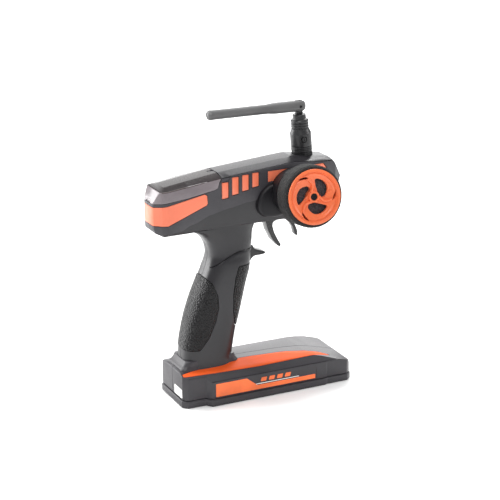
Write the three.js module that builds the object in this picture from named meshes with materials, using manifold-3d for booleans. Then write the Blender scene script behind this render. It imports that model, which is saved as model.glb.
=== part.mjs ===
// Pistol-grip radio transmitter: a two-channel hand controller with a steering wheel, a trigger,
// a folding antenna and a battery base. Millimetres, +X forward, +Y to the left side, +Z up.
// The origin is on the resting surface, under the middle of the base, in the middle plane.
import * as THREE from "three";
import { mergeVertices } from "three/addons/utils/BufferGeometryUtils.js";
import Module from "manifold-3d";

const wasm = await Module();
wasm.setup();

// ---------------------------------------------------------------- driving dimensions

const GAP = 0.3; // air between pieces that lie against each other
const FAR = 300; // longer than the object, for cutting bodies
const WALL = 2; // moulded wall of the head and grip
const BASE_WALL = 1.4; // moulded wall of the base

const HEAD_BOTTOM = 144.5;
const HEAD_TOP_REAR = [-84, 183.2];
const HEAD_TOP_BEND = [-38, 190];
const HEAD_TOP_PEAK = [28, 196];
const HEAD_TOP_FRONT = [61.5, 192.6];
const HEAD_HALF_WIDTH = 17;

const BASE_REAR = -76;
const BASE_FRONT = 76;
const BASE_TOP = 29.2;
const TRAY_HEIGHT = 6;
const BAY_REAR = -53;
const BAY_FRONT = 50.5;
const BAY_HALF_WIDTH = 29.6;
const REAR_HALF_WIDTH = 24.2;

const CELL_RADIUS = 6.8;
const CELL_LENGTH = 48;
const CELL_PITCH = 13.9;
const CELL_HEIGHT = 9.2;

const WHEEL_CENTRE = [19.4, -65, 177.4];
const WHEEL_YAW = 4.6;
const WHEEL_TILT = 8.9;
const TYRE_RADIUS = 24.7;
const RIM_RADIUS = 21.9;
const TYRE_BACK = -19.8;
const BOSS_RADIUS = 19;

const TRIGGER_PIVOT = [13.5, 153];
const TRIGGER_WIDTH = 10;

const ANTENNA_FOOT = [41.9, 194.6];
const ANTENNA_LEAN = 5.4;
const ANTENNA_PIVOT_HEIGHT = 40.4;
const ANTENNA_ARM_LENGTH = 81;

const PANEL_CENTRE = [-64, 172.6];
const PANEL_PITCH = 9;
const COVER_HINGE = [-41, 187.95];
const COVER_FRONT = -38.8;

// ---------------------------------------------------------------- materials

const paint = (color, roughness, metalness = 0) => () =>
  new THREE.MeshStandardMaterial({ color, roughness, metalness });
const charcoal = paint(0x2c2c2e, 0.5);
const glossBlack = paint(0x1c1c1d, 0.3);
const orange = paint(0xf2622a, 0.4);
const rubber = paint(0x1b1b1b, 0.9);
const steel = paint(0xb9bcc0, 0.3, 1);
const boardGreen = paint(0x1f5a37, 0.5);
const cellWrap = paint(0x3f474e, 0.4, 0.3);
const clearSmoke = () =>
  new THREE.MeshStandardMaterial({
    color: 0x4a4542,
    roughness: 0.15,
    metalness: 0,
    transparent: true,
    opacity: 0.75,
  });

// ---------------------------------------------------------------- solids from three.js geometry

function solid(geometry) {
  const bare = geometry.clone();
  bare.deleteAttribute("normal");
  bare.deleteAttribute("uv");
  const merged = mergeVertices(bare, 1e-4);
  return new wasm.Manifold(
    new wasm.Mesh({
      numProp: 3,
      vertProperties: merged.attributes.position.array,
      triVerts: new Uint32Array(merged.index.array),
    }),
  );
}

// Slivers that the cuts leave, thinner than the tolerance, are merged away.
const SLIVER = 0.01;

function geometryOf(body) {
  const mesh = body.simplify(SLIVER).getMesh();
  return new THREE.BufferGeometry()
    .setAttribute("position", new THREE.BufferAttribute(mesh.vertProperties, 3))
    .setIndex(new THREE.BufferAttribute(mesh.triVerts, 1))
    .toNonIndexed();
}

const shapeOf = (points) => new THREE.Shape(points.map(([a, b]) => new THREE.Vector2(a, b)));

function extruded(points, depth, steps = 1) {
  return new THREE.ExtrudeGeometry(shapeOf(points), { depth, steps, bevelEnabled: false });
}

// The outline's two coordinates are x and z; the solid runs from y0 to y1.
function alongY(points, y0, y1) {
  const geometry = extruded(points, y1 - y0);
  return solid(geometry.rotateX(Math.PI / 2).translate(0, y1, 0));
}

// The outline's two coordinates are x and y; the solid runs from z0 to z1.
function alongZ(points, z0, z1) {
  return solid(extruded(points, z1 - z0).translate(0, 0, z0));
}

// The outline's two coordinates are y and z; the solid runs from x0 to x1.
function alongX(points, x0, x1, steps = 1) {
  const toWorld = new THREE.Matrix4().makeBasis(
    new THREE.Vector3(0, 1, 0),
    new THREE.Vector3(0, 0, 1),
    new THREE.Vector3(1, 0, 0),
  );
  return extruded(points, x1 - x0, steps).applyMatrix4(toWorld).translate(x0, 0, 0);
}

function box(x, y, z) {
  const geometry = new THREE.BoxGeometry(x[1] - x[0], y[1] - y[0], z[1] - z[0]);
  return solid(geometry.translate((x[0] + x[1]) / 2, (y[0] + y[1]) / 2, (z[0] + z[1]) / 2));
}

// A cylinder about the local Z axis from z0 to z1.
function rod(radius, z0, z1, sides = 24) {
  const geometry = new THREE.CylinderGeometry(radius, radius, z1 - z0, sides);
  return solid(geometry.rotateX(Math.PI / 2).translate(0, 0, (z0 + z1) / 2));
}

// A body turned about the local Z axis from [radius, height] points; a profile off the axis closes on itself.
function turned(profile, sides = 32) {
  const closed = profile[0][0] === 0 ? profile : [...profile, profile[0]];
  const points = closed.map(([radius, height]) => new THREE.Vector2(radius, height));
  return solid(new THREE.LatheGeometry(points, sides).rotateX(Math.PI / 2));
}

const join = (bodies) => bodies.reduce((whole, body) => whole.add(body));
const cut = (body, ...tools) => tools.reduce((rest, tool) => rest.subtract(tool), body);
const mirrored = (points) => [...points, ...points.map(([a, b]) => [a, -b]).reverse()];
const mirroredFirst = (points) => [...points, ...points.map(([a, b]) => [-a, b]).reverse()];

// Moves every side of a closed outline inwards by the same distance.
function inset(points, distance) {
  const area = points.reduce((sum, [x, y], i) => {
    const [nextX, nextY] = points[(i + 1) % points.length];
    return sum + x * nextY - nextX * y;
  }, 0);
  const turn = Math.sign(area) * distance;
  const count = points.length;
  return points.map((point, i) => {
    const before = points[(i + count - 1) % count];
    const after = points[(i + 1) % count];
    const a = new THREE.Vector2(point[0] - before[0], point[1] - before[1]).normalize();
    const b = new THREE.Vector2(after[0] - point[0], after[1] - point[1]).normalize();
    const normal = new THREE.Vector2(-a.y - b.y, a.x + b.x).normalize();
    const reach = turn / (normal.x * -a.y + normal.y * a.x);
    return [point[0] + normal.x * reach, point[1] + normal.y * reach];
  });
}

// A smooth value at a place between stations, each [place, value].
function between(stations, place) {
  const last = stations.length - 1;
  if (place <= stations[0][0]) return stations[0][1];
  if (place >= stations[last][0]) return stations[last][1];
  const i = stations.findIndex(([at]) => at > place) - 1;
  const slope = (k) => {
    const low = stations[Math.max(k - 1, 0)];
    const high = stations[Math.min(k + 1, last)];
    return (high[1] - low[1]) / (high[0] - low[0]);
  };
  const [x0, y0] = stations[i];
  const [x1, y1] = stations[i + 1];
  const span = x1 - x0;
  const t = (place - x0) / span;
  const bend0 = slope(i) * span;
  const bend1 = slope(i + 1) * span;
  const rise = y1 - y0;
  return y0 + t * (bend0 + t * (3 * rise - 2 * bend0 - bend1 + t * (bend0 + bend1 - 2 * rise)));
}

// ---------------------------------------------------------------- frames of the tilted parts

const rad = THREE.MathUtils.degToRad;

function frameAt(origin, xAxis, zAxis) {
  const yAxis = new THREE.Vector3().crossVectors(zAxis, xAxis);
  return new THREE.Matrix4().makeBasis(xAxis, yAxis, zAxis).setPosition(...origin);
}

// The wheel's frame: local Z points out of the wheel, along its axle.
const wheelOut = new THREE.Vector3(
  -Math.sin(rad(WHEEL_YAW)) * Math.cos(rad(WHEEL_TILT)),
  -Math.cos(rad(WHEEL_YAW)) * Math.cos(rad(WHEEL_TILT)),
  Math.sin(rad(WHEEL_TILT)),
);
const wheelSide = new THREE.Vector3(Math.cos(rad(WHEEL_YAW)), -Math.sin(rad(WHEEL_YAW)), 0);
const wheelFrame = frameAt(WHEEL_CENTRE, wheelSide, wheelOut);

// The antenna's frame: local Z runs up the leaning knuckle.
const antennaFrame = new THREE.Matrix4()
  .makeRotationY(-rad(ANTENNA_LEAN))
  .setPosition(ANTENNA_FOOT[0], 0, ANTENNA_FOOT[1]);

// The control panel's frame: local X runs forward up the panel, local Z out of it.
const panelFrame = new THREE.Matrix4()
  .makeRotationY(-rad(PANEL_PITCH))
  .setPosition(PANEL_CENTRE[0], 0, PANEL_CENTRE[1]);

const placed = (body, frame) => body.transform(frame.elements);

// ---------------------------------------------------------------- outer forms

const HEAD_SIDE = [
  [-84, HEAD_BOTTOM],
  [36, HEAD_BOTTOM + 2],
  [54, 150.5],
  [66.5, 161],
  [73.4, 175],
  HEAD_TOP_FRONT,
  HEAD_TOP_PEAK,
  HEAD_TOP_BEND,
  HEAD_TOP_REAR,
  [-89.5, 181],
  [-94, 171.5],
  [-94.4, 156],
  [-91, 146],
];
const HEAD_PLAN = mirrored([
  [74.2, 8],
  [65, 15],
  [45, 18],
  [-50, 17],
  [-84, 16],
  [-88, 14.6],
  [-93.2, 9.6],
  [-95, 6],
]);
// Half section of the head: width as a share of the half width, height as a share of the height.
const HEAD_SECTION = mirroredFirst([
  [0.82, 0],
  [0.96, 0.05],
  [1, 0.14],
  [1, 0.8],
  [0.95, 0.948],
  [0.41, 1],
]);
const HEAD_TOP = [[-96, 181.4], HEAD_TOP_REAR, HEAD_TOP_BEND, HEAD_TOP_PEAK, HEAD_TOP_FRONT, [76, 191.1]];

function straight(stations, place) {
  const i = Math.max(stations.findIndex(([at]) => at >= place), 1);
  const [[x0, y0], [x1, y1]] = [stations[i - 1], stations[i]];
  return y0 + ((y1 - y0) * (place - x0)) / (x1 - x0);
}

// The head without its grip, each surface moved inwards by the given depth.
function headForm(depth) {
  const lengths = HEAD_TOP.map(([x]) => x);
  const pieces = lengths.slice(1).map((end, i) => {
    const start = lengths[i];
    const geometry = alongX(HEAD_SECTION, start, end);
    const position = geometry.attributes.position;
    for (let k = 0; k < position.count; k++) {
      const x = position.getX(k);
      const bottom = HEAD_BOTTOM + depth;
      const top = straight(HEAD_TOP, x) - depth;
      position.setY(k, position.getY(k) * (HEAD_HALF_WIDTH + 1 - depth));
      position.setZ(k, bottom + position.getZ(k) * (top - bottom));
    }
    return solid(geometry);
  });
  const side = alongY(inset(HEAD_SIDE, depth), -FAR, FAR);
  const plan = alongZ(inset(HEAD_PLAN, depth), 0, FAR);
  return join(pieces).intersect(side).intersect(plan);
}

// Stations up the grip, each [height, value]: its rear edge, its front edge and its half width.
const GRIP_REAR = [
  [27, -70.5], [32, -69], [45, -67.7], [57, -65.6], [70, -62.3], [85, -57], [98, -51.3],
  [106, -47.8], [114, -44.9], [122, -43.6], [131, -46], [136, -49.5], [140, -54], [145, -62], [170, -62],
];
const GRIP_FRONT = [
  [27, -22], [32, -24.4], [45, -22.7], [57, -20.5], [70, -17.3], [85, -14], [98, -11], [106, -8.7],
  [114, -7.6], [122, -6.5], [130, -5.4], [138, -4.7], [145, -1.8], [155, 4], [170, 10],
];
const GRIP_HALF_WIDTH = [
  [27, 15.5], [34, 14.6], [57, 15], [85, 16], [106, 16], [114, 15.5], [120, 14.6], [130, 14.2],
  [145, 15], [160, 16.6], [170, 17],
];
const GRIP_SPAN = [27, 168];
const GRIP_SIDES = 20;
const GRIP_STEPS = 16;
const GRIP_SQUARENESS = 2.6;

// The grip and its neck, from the base up into the head.
function gripForm(depth) {
  const [bottom, top] = GRIP_SPAN;
  const geometry = new THREE.CylinderGeometry(1, 1, 1, GRIP_SIDES, GRIP_STEPS).rotateX(Math.PI / 2);
  const position = geometry.attributes.position;
  const round = (part) => Math.sign(part) * Math.abs(part) ** (2 / GRIP_SQUARENESS);
  for (let k = 0; k < position.count; k++) {
    const z = bottom + (position.getZ(k) + 0.5) * (top - bottom);
    const rear = between(GRIP_REAR, z);
    const front = between(GRIP_FRONT, z);
    const halfDepth = (front - rear) / 2 - depth;
    const halfWidth = between(GRIP_HALF_WIDTH, z) - depth;
    const x = (front + rear) / 2 + halfDepth * round(position.getX(k));
    position.setXYZ(k, x, halfWidth * round(position.getY(k)), z);
  }
  return solid(geometry);
}

const BASE_SIDE = [
  [BASE_REAR, TRAY_HEIGHT + GAP],
  [BASE_FRONT, TRAY_HEIGHT + GAP],
  [BASE_FRONT, 14],
  [74.5, 17.8],
  [50, 24.6],
  [39, 26.8],
  [18, 28.4],
  [-10, BASE_TOP],
  [BASE_REAR + 1.5, BASE_TOP],
  [BASE_REAR, BASE_TOP - 1.5],
];
const BASE_SECTION = mirroredFirst([
  [BAY_HALF_WIDTH, 0],
  [BAY_HALF_WIDTH - 0.6, 21.2],
  [23, 26.2],
  [9, BASE_TOP + 0.2],
]);
const BASE_PLAN = mirrored([
  [BASE_FRONT, 25],
  [BASE_FRONT - 4, 28.6],
  [53, 28.6],
  [50.5, BAY_HALF_WIDTH],
  [-53, BAY_HALF_WIDTH],
  [-56.5, REAR_HALF_WIDTH + 0.4],
  [BASE_REAR + 3.5, REAR_HALF_WIDTH],
  [BASE_REAR, REAR_HALF_WIDTH - 3.5],
]);

// The upper half of the base, each surface moved inwards by the given depth.
function baseForm(depth) {
  const section = inset(BASE_SECTION, depth);
  const long = solid(alongX(section, -FAR, FAR));
  const side = alongY(inset(BASE_SIDE, depth), -FAR, FAR);
  const plan = alongZ(inset(BASE_PLAN, depth), -1, FAR);
  return long.intersect(side).intersect(plan);
}

const head = headForm(0);
const grip = gripForm(0);
const base = baseForm(0);

// ---------------------------------------------------------------- zones that split the skin

const COVER_ZONE = [
  [-110, 168.8], [-84, 172.2], [-67, 174.2], [-43, 178.8], [-37.9, 188], [-37.9, 210], [-110, 210],
];
const TOP_ZONE = [
  [-37.9, 187.5], [28, 193.3], [58, 190.2], [90, 188], [90, 210], [-37.9, 210],
];
const TRIM_ZONE = [
  [-110, 166.4], [-84, 169.6], [-53, 176], [-50.8, 174.8], [-50.3, 168.3], [-51.2, 167],
  [-83.5, 153.8], [-110, 153.6],
];
const REAR_PAD_ZONE = [
  [-90, 44], [-57, 44], [-49.2, 53.7], [-43.5, 66.7], [-41, 78.6], [-41.7, 89.4], [-45.6, 99.3],
  [-51, 105.4], [-57.6, 111], [-90, 113],
];
const FRONT_PAD_ZONE = [
  [8, 111.5], [-22.5, 111.5], [-25.6, 102], [-27.4, 88.4], [-27, 73], [-24.8, 61], [-20, 57], [8, 57],
];
// The stripe lies on the wheel's side of the base only.
const STRIPE_ZONE = [
  [-74.6, -17.6], [-52, -12.6], [-38, -9.6], [-23, -8.6], [24, -10.2], [52, -15], [60.5, -20.6],
  [44, -22.8], [-8, -23.6], [-48, -22.8], [-74.6, -21.2],
];

const BAR_FIRST = -35;
const BAR_PITCH = 8.8;
const BAR_WIDTH = 5.6;
const BAR_COUNT = 4;
const BAR_RISE = 0.4; // half the slope of a bar's lower edge
const barZones = Array.from({ length: BAR_COUNT }, (_, i) => {
  const middle = BAR_FIRST + i * BAR_PITCH;
  const bottom = 170.6 + 0.245 * (middle - BAR_FIRST);
  const top = i === 0 ? 184 : 187 + 0.09 * (middle - BAR_FIRST - BAR_PITCH);
  const [left, right] = [middle - BAR_WIDTH / 2, middle + BAR_WIDTH / 2];
  return [[left, bottom - BAR_RISE], [right, bottom + BAR_RISE], [right, top], [left, top]];
});
const ACCENT_ZONE = [[2.4, 179.6], [50, 184], [56, 185], [52.6, 189.4], [2.4, 188.4]];
const WINDOW_ZONES = [...barZones, ACCENT_ZONE];

const slab = (zone, growth = 0) => alongY(inset(zone, -growth), -FAR, FAR);
const leftSide = box([-FAR, FAR], [GAP / 2, FAR], [-FAR, FAR]);
const rightSide = box([-FAR, FAR], [-FAR, -GAP / 2], [-FAR, FAR]);

// ---------------------------------------------------------------- housing halves

const SPUR = [
  [-12, 109.5], [-5.6, 113], [-3.1, 114.6], [5.4, 115.2], [6.6, 116.2], [6, 117.3], [2.9, 118.5],
  [-1.1, 119.9], [-3.8, 121.6], [-5.6, 124.4], [-12, 126],
];
const SPUR_HALF_WIDTH = 6.5;
const FOOT = [[-72.6, 27], [-20.6, 27], [-21.8, 31.6], [-25, 33.5], [-66, 36.5], [-71.2, 33]];
const FOOT_HALF_WIDTH = 13.5;
const TRIGGER_SLOT = { x: [1.4, 34], halfWidth: 5.7 };
const SHAFT_WINDOW_RADIUS = 15;
const JACK_CENTRE = [-65, 15.5];
const JACK_RADIUS = 4.2;

const RECESS = 1.2;

// Everything in a zone that lies outside the form at the recess's depth.
const recess = (form, zone) => slab(zone, 0.2).subtract(form(RECESS));

function housingShell() {
  const spur = alongY(SPUR, -SPUR_HALF_WIDTH, SPUR_HALF_WIDTH);
  const foot = alongY(FOOT, -FOOT_HALF_WIDTH, FOOT_HALF_WIDTH);
  const grooved = base.subtract(stripeSlab(0.2).subtract(baseForm(0.9)));
  const outside = join([head, grip, grooved, spur, foot]);
  const inside = join([
    headForm(WALL),
    gripForm(WALL),
    baseForm(BASE_WALL),
    box([BASE_REAR + 3, BASE_FRONT - 3], [-20, 20], [0, 12]),
    box([BAY_REAR, BAY_FRONT], [-28.2, 28.2], [0, 12]),
  ]);
  const recesses = [
    recess(gripForm, REAR_PAD_ZONE),
    recess(gripForm, FRONT_PAD_ZONE),
    recess(headForm, TRIM_ZONE),
  ];
  const openings = [
    slab(COVER_ZONE),
    slab(TOP_ZONE),
    lugRoom(),
    ...WINDOW_ZONES.map((zone) => slab(zone, 0.25)),
    box(
      TRIGGER_SLOT.x,
      [-TRIGGER_SLOT.halfWidth, TRIGGER_SLOT.halfWidth],
      [HEAD_BOTTOM - 1, HEAD_BOTTOM + 6],
    ),
    placed(rod(SHAFT_WINDOW_RADIUS, -58, -20), wheelFrame),
    jackHole(),
  ];
  return cut(outside.subtract(inside), ...recesses, ...openings);
}

const stripeSlab = (growth) => alongZ(inset(STRIPE_ZONE, -growth), 20, 40);

function jackHole() {
  const hole = rod(JACK_RADIUS + GAP, 10, 40, 20);
  return hole.rotate([-90, 0, 0]).translate([JACK_CENTRE[0], 0, JACK_CENTRE[1]]);
}

const largest = (body) => body.decompose().reduce((a, b) => (a.volume() > b.volume() ? a : b));

const SCREW_PLACES = [[-78, 149.5], [46, 155], [-32, 122], [-41, 50], [62, 11.5]];
const SCREW_HEAD_RADIUS = 2.6;

// Blind pockets on the left side, one for each case screw.
function screwPocket([x, z]) {
  return rod(SCREW_HEAD_RADIUS + GAP, 0, 40, 16).rotate([-90, 0, 0]).translate([x, screwSeat([x, z]), z]);
}

// Where a screw head sits: a little inside the left skin at that place.
function screwSeat([x, z]) {
  if (z > HEAD_BOTTOM) return HEAD_HALF_WIDTH - 1.4;
  if (z < BASE_TOP) return 26.6;
  return between(GRIP_HALF_WIDTH, z) - 1.9;
}

function screwPost([x, z]) {
  const seat = screwSeat([x, z]);
  return rod(4, GAP / 2, seat + 1.1, 12).rotate([-90, 0, 0]).translate([x, 0, z]);
}

function screwBore([x, z]) {
  return rod(1.6, -9, 40, 10).rotate([-90, 0, 0]).translate([x, 0, z]);
}

function housingLeft() {
  const shell = housingShell().intersect(leftSide);
  const posts = join(SCREW_PLACES.map(screwPost));
  const pockets = join(SCREW_PLACES.map((place) => screwPocket(place).add(screwBore(place))));
  return largest(shell.add(posts).subtract(pockets));
}

function housingRight() {
  const shell = housingShell().intersect(rightSide);
  const posts = join(SCREW_PLACES.map((place) => {
    const reach = screwSeat(place) + 0.6;
    return rod(3.4, -reach, -GAP / 2, 12).rotate([-90, 0, 0]).translate([place[0], 0, place[1]]);
  }));
  return largest(shell.add(posts).subtract(join(SCREW_PLACES.map(screwBore))));
}

function caseScrew(place) {
  const seat = screwSeat(place);
  const threaded = rod(1.3, -7, seat + 0.4, 8);
  const capHead = rod(SCREW_HEAD_RADIUS, seat + 0.3, seat + 1.6, 12);
  const slotA = box([-1.7, 1.7], [-0.35, 0.35], [seat + 0.9, seat + 3]);
  const slotB = box([-0.35, 0.35], [-1.7, 1.7], [seat + 0.9, seat + 3]);
  const screw = threaded.add(capHead).subtract(slotA).subtract(slotB);
  return screw.rotate([-90, 0, 0]).translate([place[0], 0, place[1]]);
}

// ---------------------------------------------------------------- covers and trims of the head

function topCover() {
  const cap = head.intersect(slab(TOP_ZONE, -GAP)).subtract(headForm(WALL));
  const cableHole = placed(rod(3.2, -12, 12, 16), antennaFrame);
  const lug = hingeBarrel(1.5, HINGE_LUG_HALF_WIDTH).add(
    box([COVER_HINGE[0], -35.4], [-HINGE_LUG_HALF_WIDTH, HINGE_LUG_HALF_WIDTH], [186.9, 189.2]),
  );
  return largest(cap.subtract(cableHole).add(lug).subtract(hingeBarrel(0.85, 20)));
}

const HINGE_LUG_HALF_WIDTH = 2;
const HINGE_PIN_HALF_LENGTH = 6.4;

const lugRoom = () => {
  const halfWidth = HINGE_LUG_HALF_WIDTH + GAP;
  return box([COVER_HINGE[0] - 1.9, -35], [-halfWidth, halfWidth], [185, 195]);
};

// A cylinder on the flip cover's hinge line.
function hingeBarrel(radius, halfLength) {
  const barrel = rod(radius, -halfLength, halfLength, 16).rotate([90, 0, 0]);
  return barrel.translate([COVER_HINGE[0], 0, COVER_HINGE[1]]);
}

function flipCover() {
  const shell = head.intersect(slab(COVER_ZONE, -GAP)).subtract(headForm(1.5));
  const barrel = hingeBarrel(1.5, HINGE_PIN_HALF_LENGTH + 0.6);
  const frontRoom = box([COVER_FRONT, -30], [-30, 30], [185, 195]);
  const pinRoom = hingeBarrel(0.85, HINGE_PIN_HALF_LENGTH + 0.2);
  return largest(cut(shell.add(barrel), lugRoom(), frontRoom, pinRoom));
}

const coverHingePin = () => hingeBarrel(0.6, HINGE_PIN_HALF_LENGTH);

const rearTrim = () => head.subtract(headForm(0.9)).intersect(slab(TRIM_ZONE));

// The four bars and the front accent stand on one strip behind the side wall.
function sideInlay(side) {
  const half = side > 0 ? leftSide : rightSide;
  const backing = headForm(WALL + GAP).subtract(headForm(WALL + GAP + 1));
  const strip = backing.intersect(slab([[-39, 174], [57, 181], [57, 188], [-39, 183]]));
  const faces = WINDOW_ZONES.map((zone) => head.subtract(headForm(WALL + GAP + 0.5)).intersect(slab(zone)));
  const room = box([-FAR, FAR], side > 0 ? [11, FAR] : [-FAR, -11], [0, FAR]);
  const shaftRoom = placed(rod(SHAFT_WINDOW_RADIUS - 2, -62, -30), wheelFrame);
  const whole = join([strip, ...faces]).intersect(half).intersect(room);
  return largest(side > 0 ? whole : whole.subtract(shaftRoom));
}

// ---------------------------------------------------------------- grip pads

const rearPad = () => gripForm(-0.5).subtract(gripForm(0.8)).intersect(slab(REAR_PAD_ZONE));
const frontPad = () => gripForm(-0.2).subtract(gripForm(0.8)).intersect(slab(FRONT_PAD_ZONE));

// ---------------------------------------------------------------- base

function baseStripe() {
  const clearOfFoot = alongY(inset(FOOT, -GAP), -FOOT_HALF_WIDTH - GAP, FOOT_HALF_WIDTH + GAP);
  const strip = base.subtract(baseForm(0.6)).intersect(stripeSlab(0));
  return largest(cut(strip, clearOfFoot, gripForm(-GAP)));
}

const DOOR = { x: [-51.1, 48.6], halfWidth: 27.6, thickness: 1.9 };

function baseTray() {
  const lip = alongZ(inset(BASE_PLAN, -0.8), 0, TRAY_HEIGHT);
  const rearPocket = box([-73.5, -56], [-20, 20], [2, 10]);
  const frontPocket = box([54, 72], [-22, 22], [2, 10]);
  const bay = box([BAY_REAR + 1.5, BAY_FRONT - 1.5], [-28.1, 28.1], [-1, 30]);
  const across = [-27, 27];
  const rearWall = box([BAY_REAR, BAY_REAR + 1.5], across, [0, 19]);
  const frontWall = box([BAY_FRONT - 1.5, BAY_FRONT], across, [0, 19]);
  const ceiling = box([BAY_REAR, BAY_FRONT], across, [17.2, 18.8]);
  const ribs = [-14, 0, 14].map((y) => box([BAY_REAR, BAY_FRONT], [y - 0.4, y + 0.4], [16.4, 17.6]));
  return join([cut(lip, rearPocket, frontPocket, bay), rearWall, frontWall, ceiling, ...ribs]);
}

function batteryDoor() {
  const plate = box(DOOR.x, [-DOOR.halfWidth, DOOR.halfWidth], [0, DOOR.thickness]);
  const thumb = box([38, 44], [-7, 7], [-1, 0.7]);
  const grooves = [40, 42].map((x) => box([x, x + 0.8], [-6, 6], [0.5, 1.1]));
  return cut(plate, thumb, ...grooves);
}

function cell(column, row) {
  const body = rod(CELL_RADIUS, 0, CELL_LENGTH, 16);
  const button = rod(2.7, CELL_LENGTH - 0.1, CELL_LENGTH + 1, 8);
  const y = (column - 1.5) * CELL_PITCH;
  const whole = body.add(button).rotate([0, 90, 0]);
  const facing = column % 2 === 0 ? whole : whole.rotate([0, 0, 180]).translate([CELL_LENGTH + 1, 0, 0]);
  const start = BAY_REAR + 2.5 + row * (CELL_LENGTH + 1.3);
  return facing.translate([start, y, CELL_HEIGHT]);
}

// A bent strip that bridges the ends of two rows of cells.
function contact(x, y0, y1) {
  return box([x - 0.25, x + 0.25], [y0, y1], [4.5, 14]);
}

// ---------------------------------------------------------------- charge socket

function chargeJack() {
  const wall = [[0, 12], [JACK_RADIUS, 12], [JACK_RADIUS, 24.4], [2.9, 24.4], [2.9, 14], [0, 14]];
  const barrel = turned(wall, 20);
  const pin = rod(0.9, 13.5, 22.5, 10);
  return barrel.add(pin).rotate([-90, 0, 0]).translate([JACK_CENTRE[0], 0, JACK_CENTRE[1]]);
}

// ---------------------------------------------------------------- steering wheel

const KIDNEY_ANGLES = [55, 175, 295];

const polar = (radius, degrees) =>
  new THREE.Vector2(radius * Math.cos(rad(degrees)), radius * Math.sin(rad(degrees)));

function closedCurve(points, count) {
  const curve = new THREE.CatmullRomCurve3(points.map((p) => new THREE.Vector3(p.x, p.y, 0)), true);
  return curve.getSpacedPoints(count).slice(0, -1).map((p) => [p.x, p.y]);
}

// A comma-shaped window between two swirling spokes.
function kidneyWindow(angle) {
  const corners = [
    polar(13.6, angle - 34), polar(14.4, angle - 4), polar(12.8, angle + 24),
    polar(8.6, angle + 34), polar(5.9, angle + 12), polar(6.8, angle - 22),
  ];
  return alongZ(closedCurve(corners, 16), -10, 2);
}

// A thin crescent slot near the rim, ahead of each window.
function crescentSlot(angle) {
  const outer = [-62, -54, -46, -38].map((turn) => polar(18.2, angle + turn));
  const inner = [-40, -48, -56].map((turn) => polar(16.9, angle + turn));
  return alongZ([...outer, ...inner].map((p) => [p.x, p.y]), -10, 2);
}

function wheelRim() {
  const barrel = turned([
    [17, -17.5], [18.9, -17.5], [18.9, -1.7], [RIM_RADIUS, -1.7], [RIM_RADIUS, -0.4], [RIM_RADIUS - 0.6, 0],
    [RIM_RADIUS - 2, 0], [RIM_RADIUS - 2.8, -0.9], [17, -1.2],
  ], 36);
  const disc = turned([[0, -5.2], [17.6, -4], [17.6, -1.4], [0, -2.4]], 36);
  const hub = turned([[0, -14], [5.6, -14], [5.6, -1.6], [4.9, -1], [0, -1]], 24);
  const face = cut(disc, ...KIDNEY_ANGLES.map(kidneyWindow), ...KIDNEY_ANGLES.map(crescentSlot));
  const screwRoom = rod(3, -3.8, 2, 20);
  const screwHole = rod(1.8, -20, 2, 12);
  const axleSocket = rod(3 + GAP, -20, -6, 20);
  return cut(join([barrel, face, hub]), screwRoom, screwHole, axleSocket);
}

const wheelTyre = () => turned([
  [19.2, -2], [19.2, TYRE_BACK], [23.2, TYRE_BACK], [TYRE_RADIUS, TYRE_BACK + 1.6], [TYRE_RADIUS, -3.9],
  [23.9, -2.6], [22.6, -2],
], 36);

const wheelAxle = () => cut(rod(3, -57, -6.3, 20), rod(1.3, -12, -5, 10));

function wheelScrew() {
  const head = rod(2.6, -3.5, -2, 16);
  const shank = rod(1, -11, -3.4, 10);
  const slotA = box([-1.7, 1.7], [-0.35, 0.35], [-2.7, 0]);
  const slotB = box([-0.35, 0.35], [-1.7, 1.7], [-2.7, 0]);
  return cut(head.add(shank), slotA, slotB);
}

// Side view of the block that fills the corner between the grip and the round boss.
const FAIRING = [
  [0, 151.5], [-4.6, 153.4], [-7.2, 158], [-7.6, 165], [-5.6, 172], [-1.6, 179], [6, 184], [18, 182],
  [20, 156], [12, 151.2],
];
const FAIRING_SIDE = 23;

// The round housing between the head and the wheel; its foot follows the head's side.
function wheelBoss() {
  const inner = BOSS_RADIUS - 2;
  const outer = turned([[0, -54], [BOSS_RADIUS, -54], [BOSS_RADIUS, -24], [inner, -21.4], [0, -21.4]], 40);
  const hollow = turned([[0, -60], [inner, -60], [inner, -26], [0, -23.8]], 40);
  const bearing = rod(5.4, -30, -23, 20);
  const bore = rod(3 + GAP, -60, -10, 20);
  const shaped = cut(cut(outer, hollow).add(bearing), bore);
  const room = placed(rod(inner, -60, -20), wheelFrame);
  const fairing = alongY(FAIRING, -FAIRING_SIDE, -HEAD_HALF_WIDTH + 1).subtract(room);
  return largest(placed(shaped, wheelFrame).add(fairing).subtract(headForm(-GAP)).subtract(gripForm(-GAP)));
}

// A wire coil about the local Z axis.
function coil(radius, wire, z0, z1, turns) {
  const steps = turns * 9;
  const points = Array.from({ length: steps + 1 }, (_, i) => {
    const angle = (i / steps) * turns * 2 * Math.PI;
    const z = z0 + ((z1 - z0) * i) / steps;
    return new THREE.Vector3(radius * Math.cos(angle), radius * Math.sin(angle), z);
  });
  const section = Array.from({ length: 5 }, (_, i) => {
    const p = polar(wire, i * 72);
    return [p.x, p.y];
  });
  const extrudePath = new THREE.CatmullRomCurve3(points);
  return solid(new THREE.ExtrudeGeometry(shapeOf(section), { steps, extrudePath, bevelEnabled: false }));
}

const steeringSpring = () => coil(6.9, 0.45, -36, -29, 4);

function steeringPot() {
  const can = rod(8, -62, -57.5, 24);
  const lugs = box([-3, 3], [-10.5, -7], [-62, -60.6]);
  return can.add(lugs);
}

// ---------------------------------------------------------------- trigger

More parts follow.
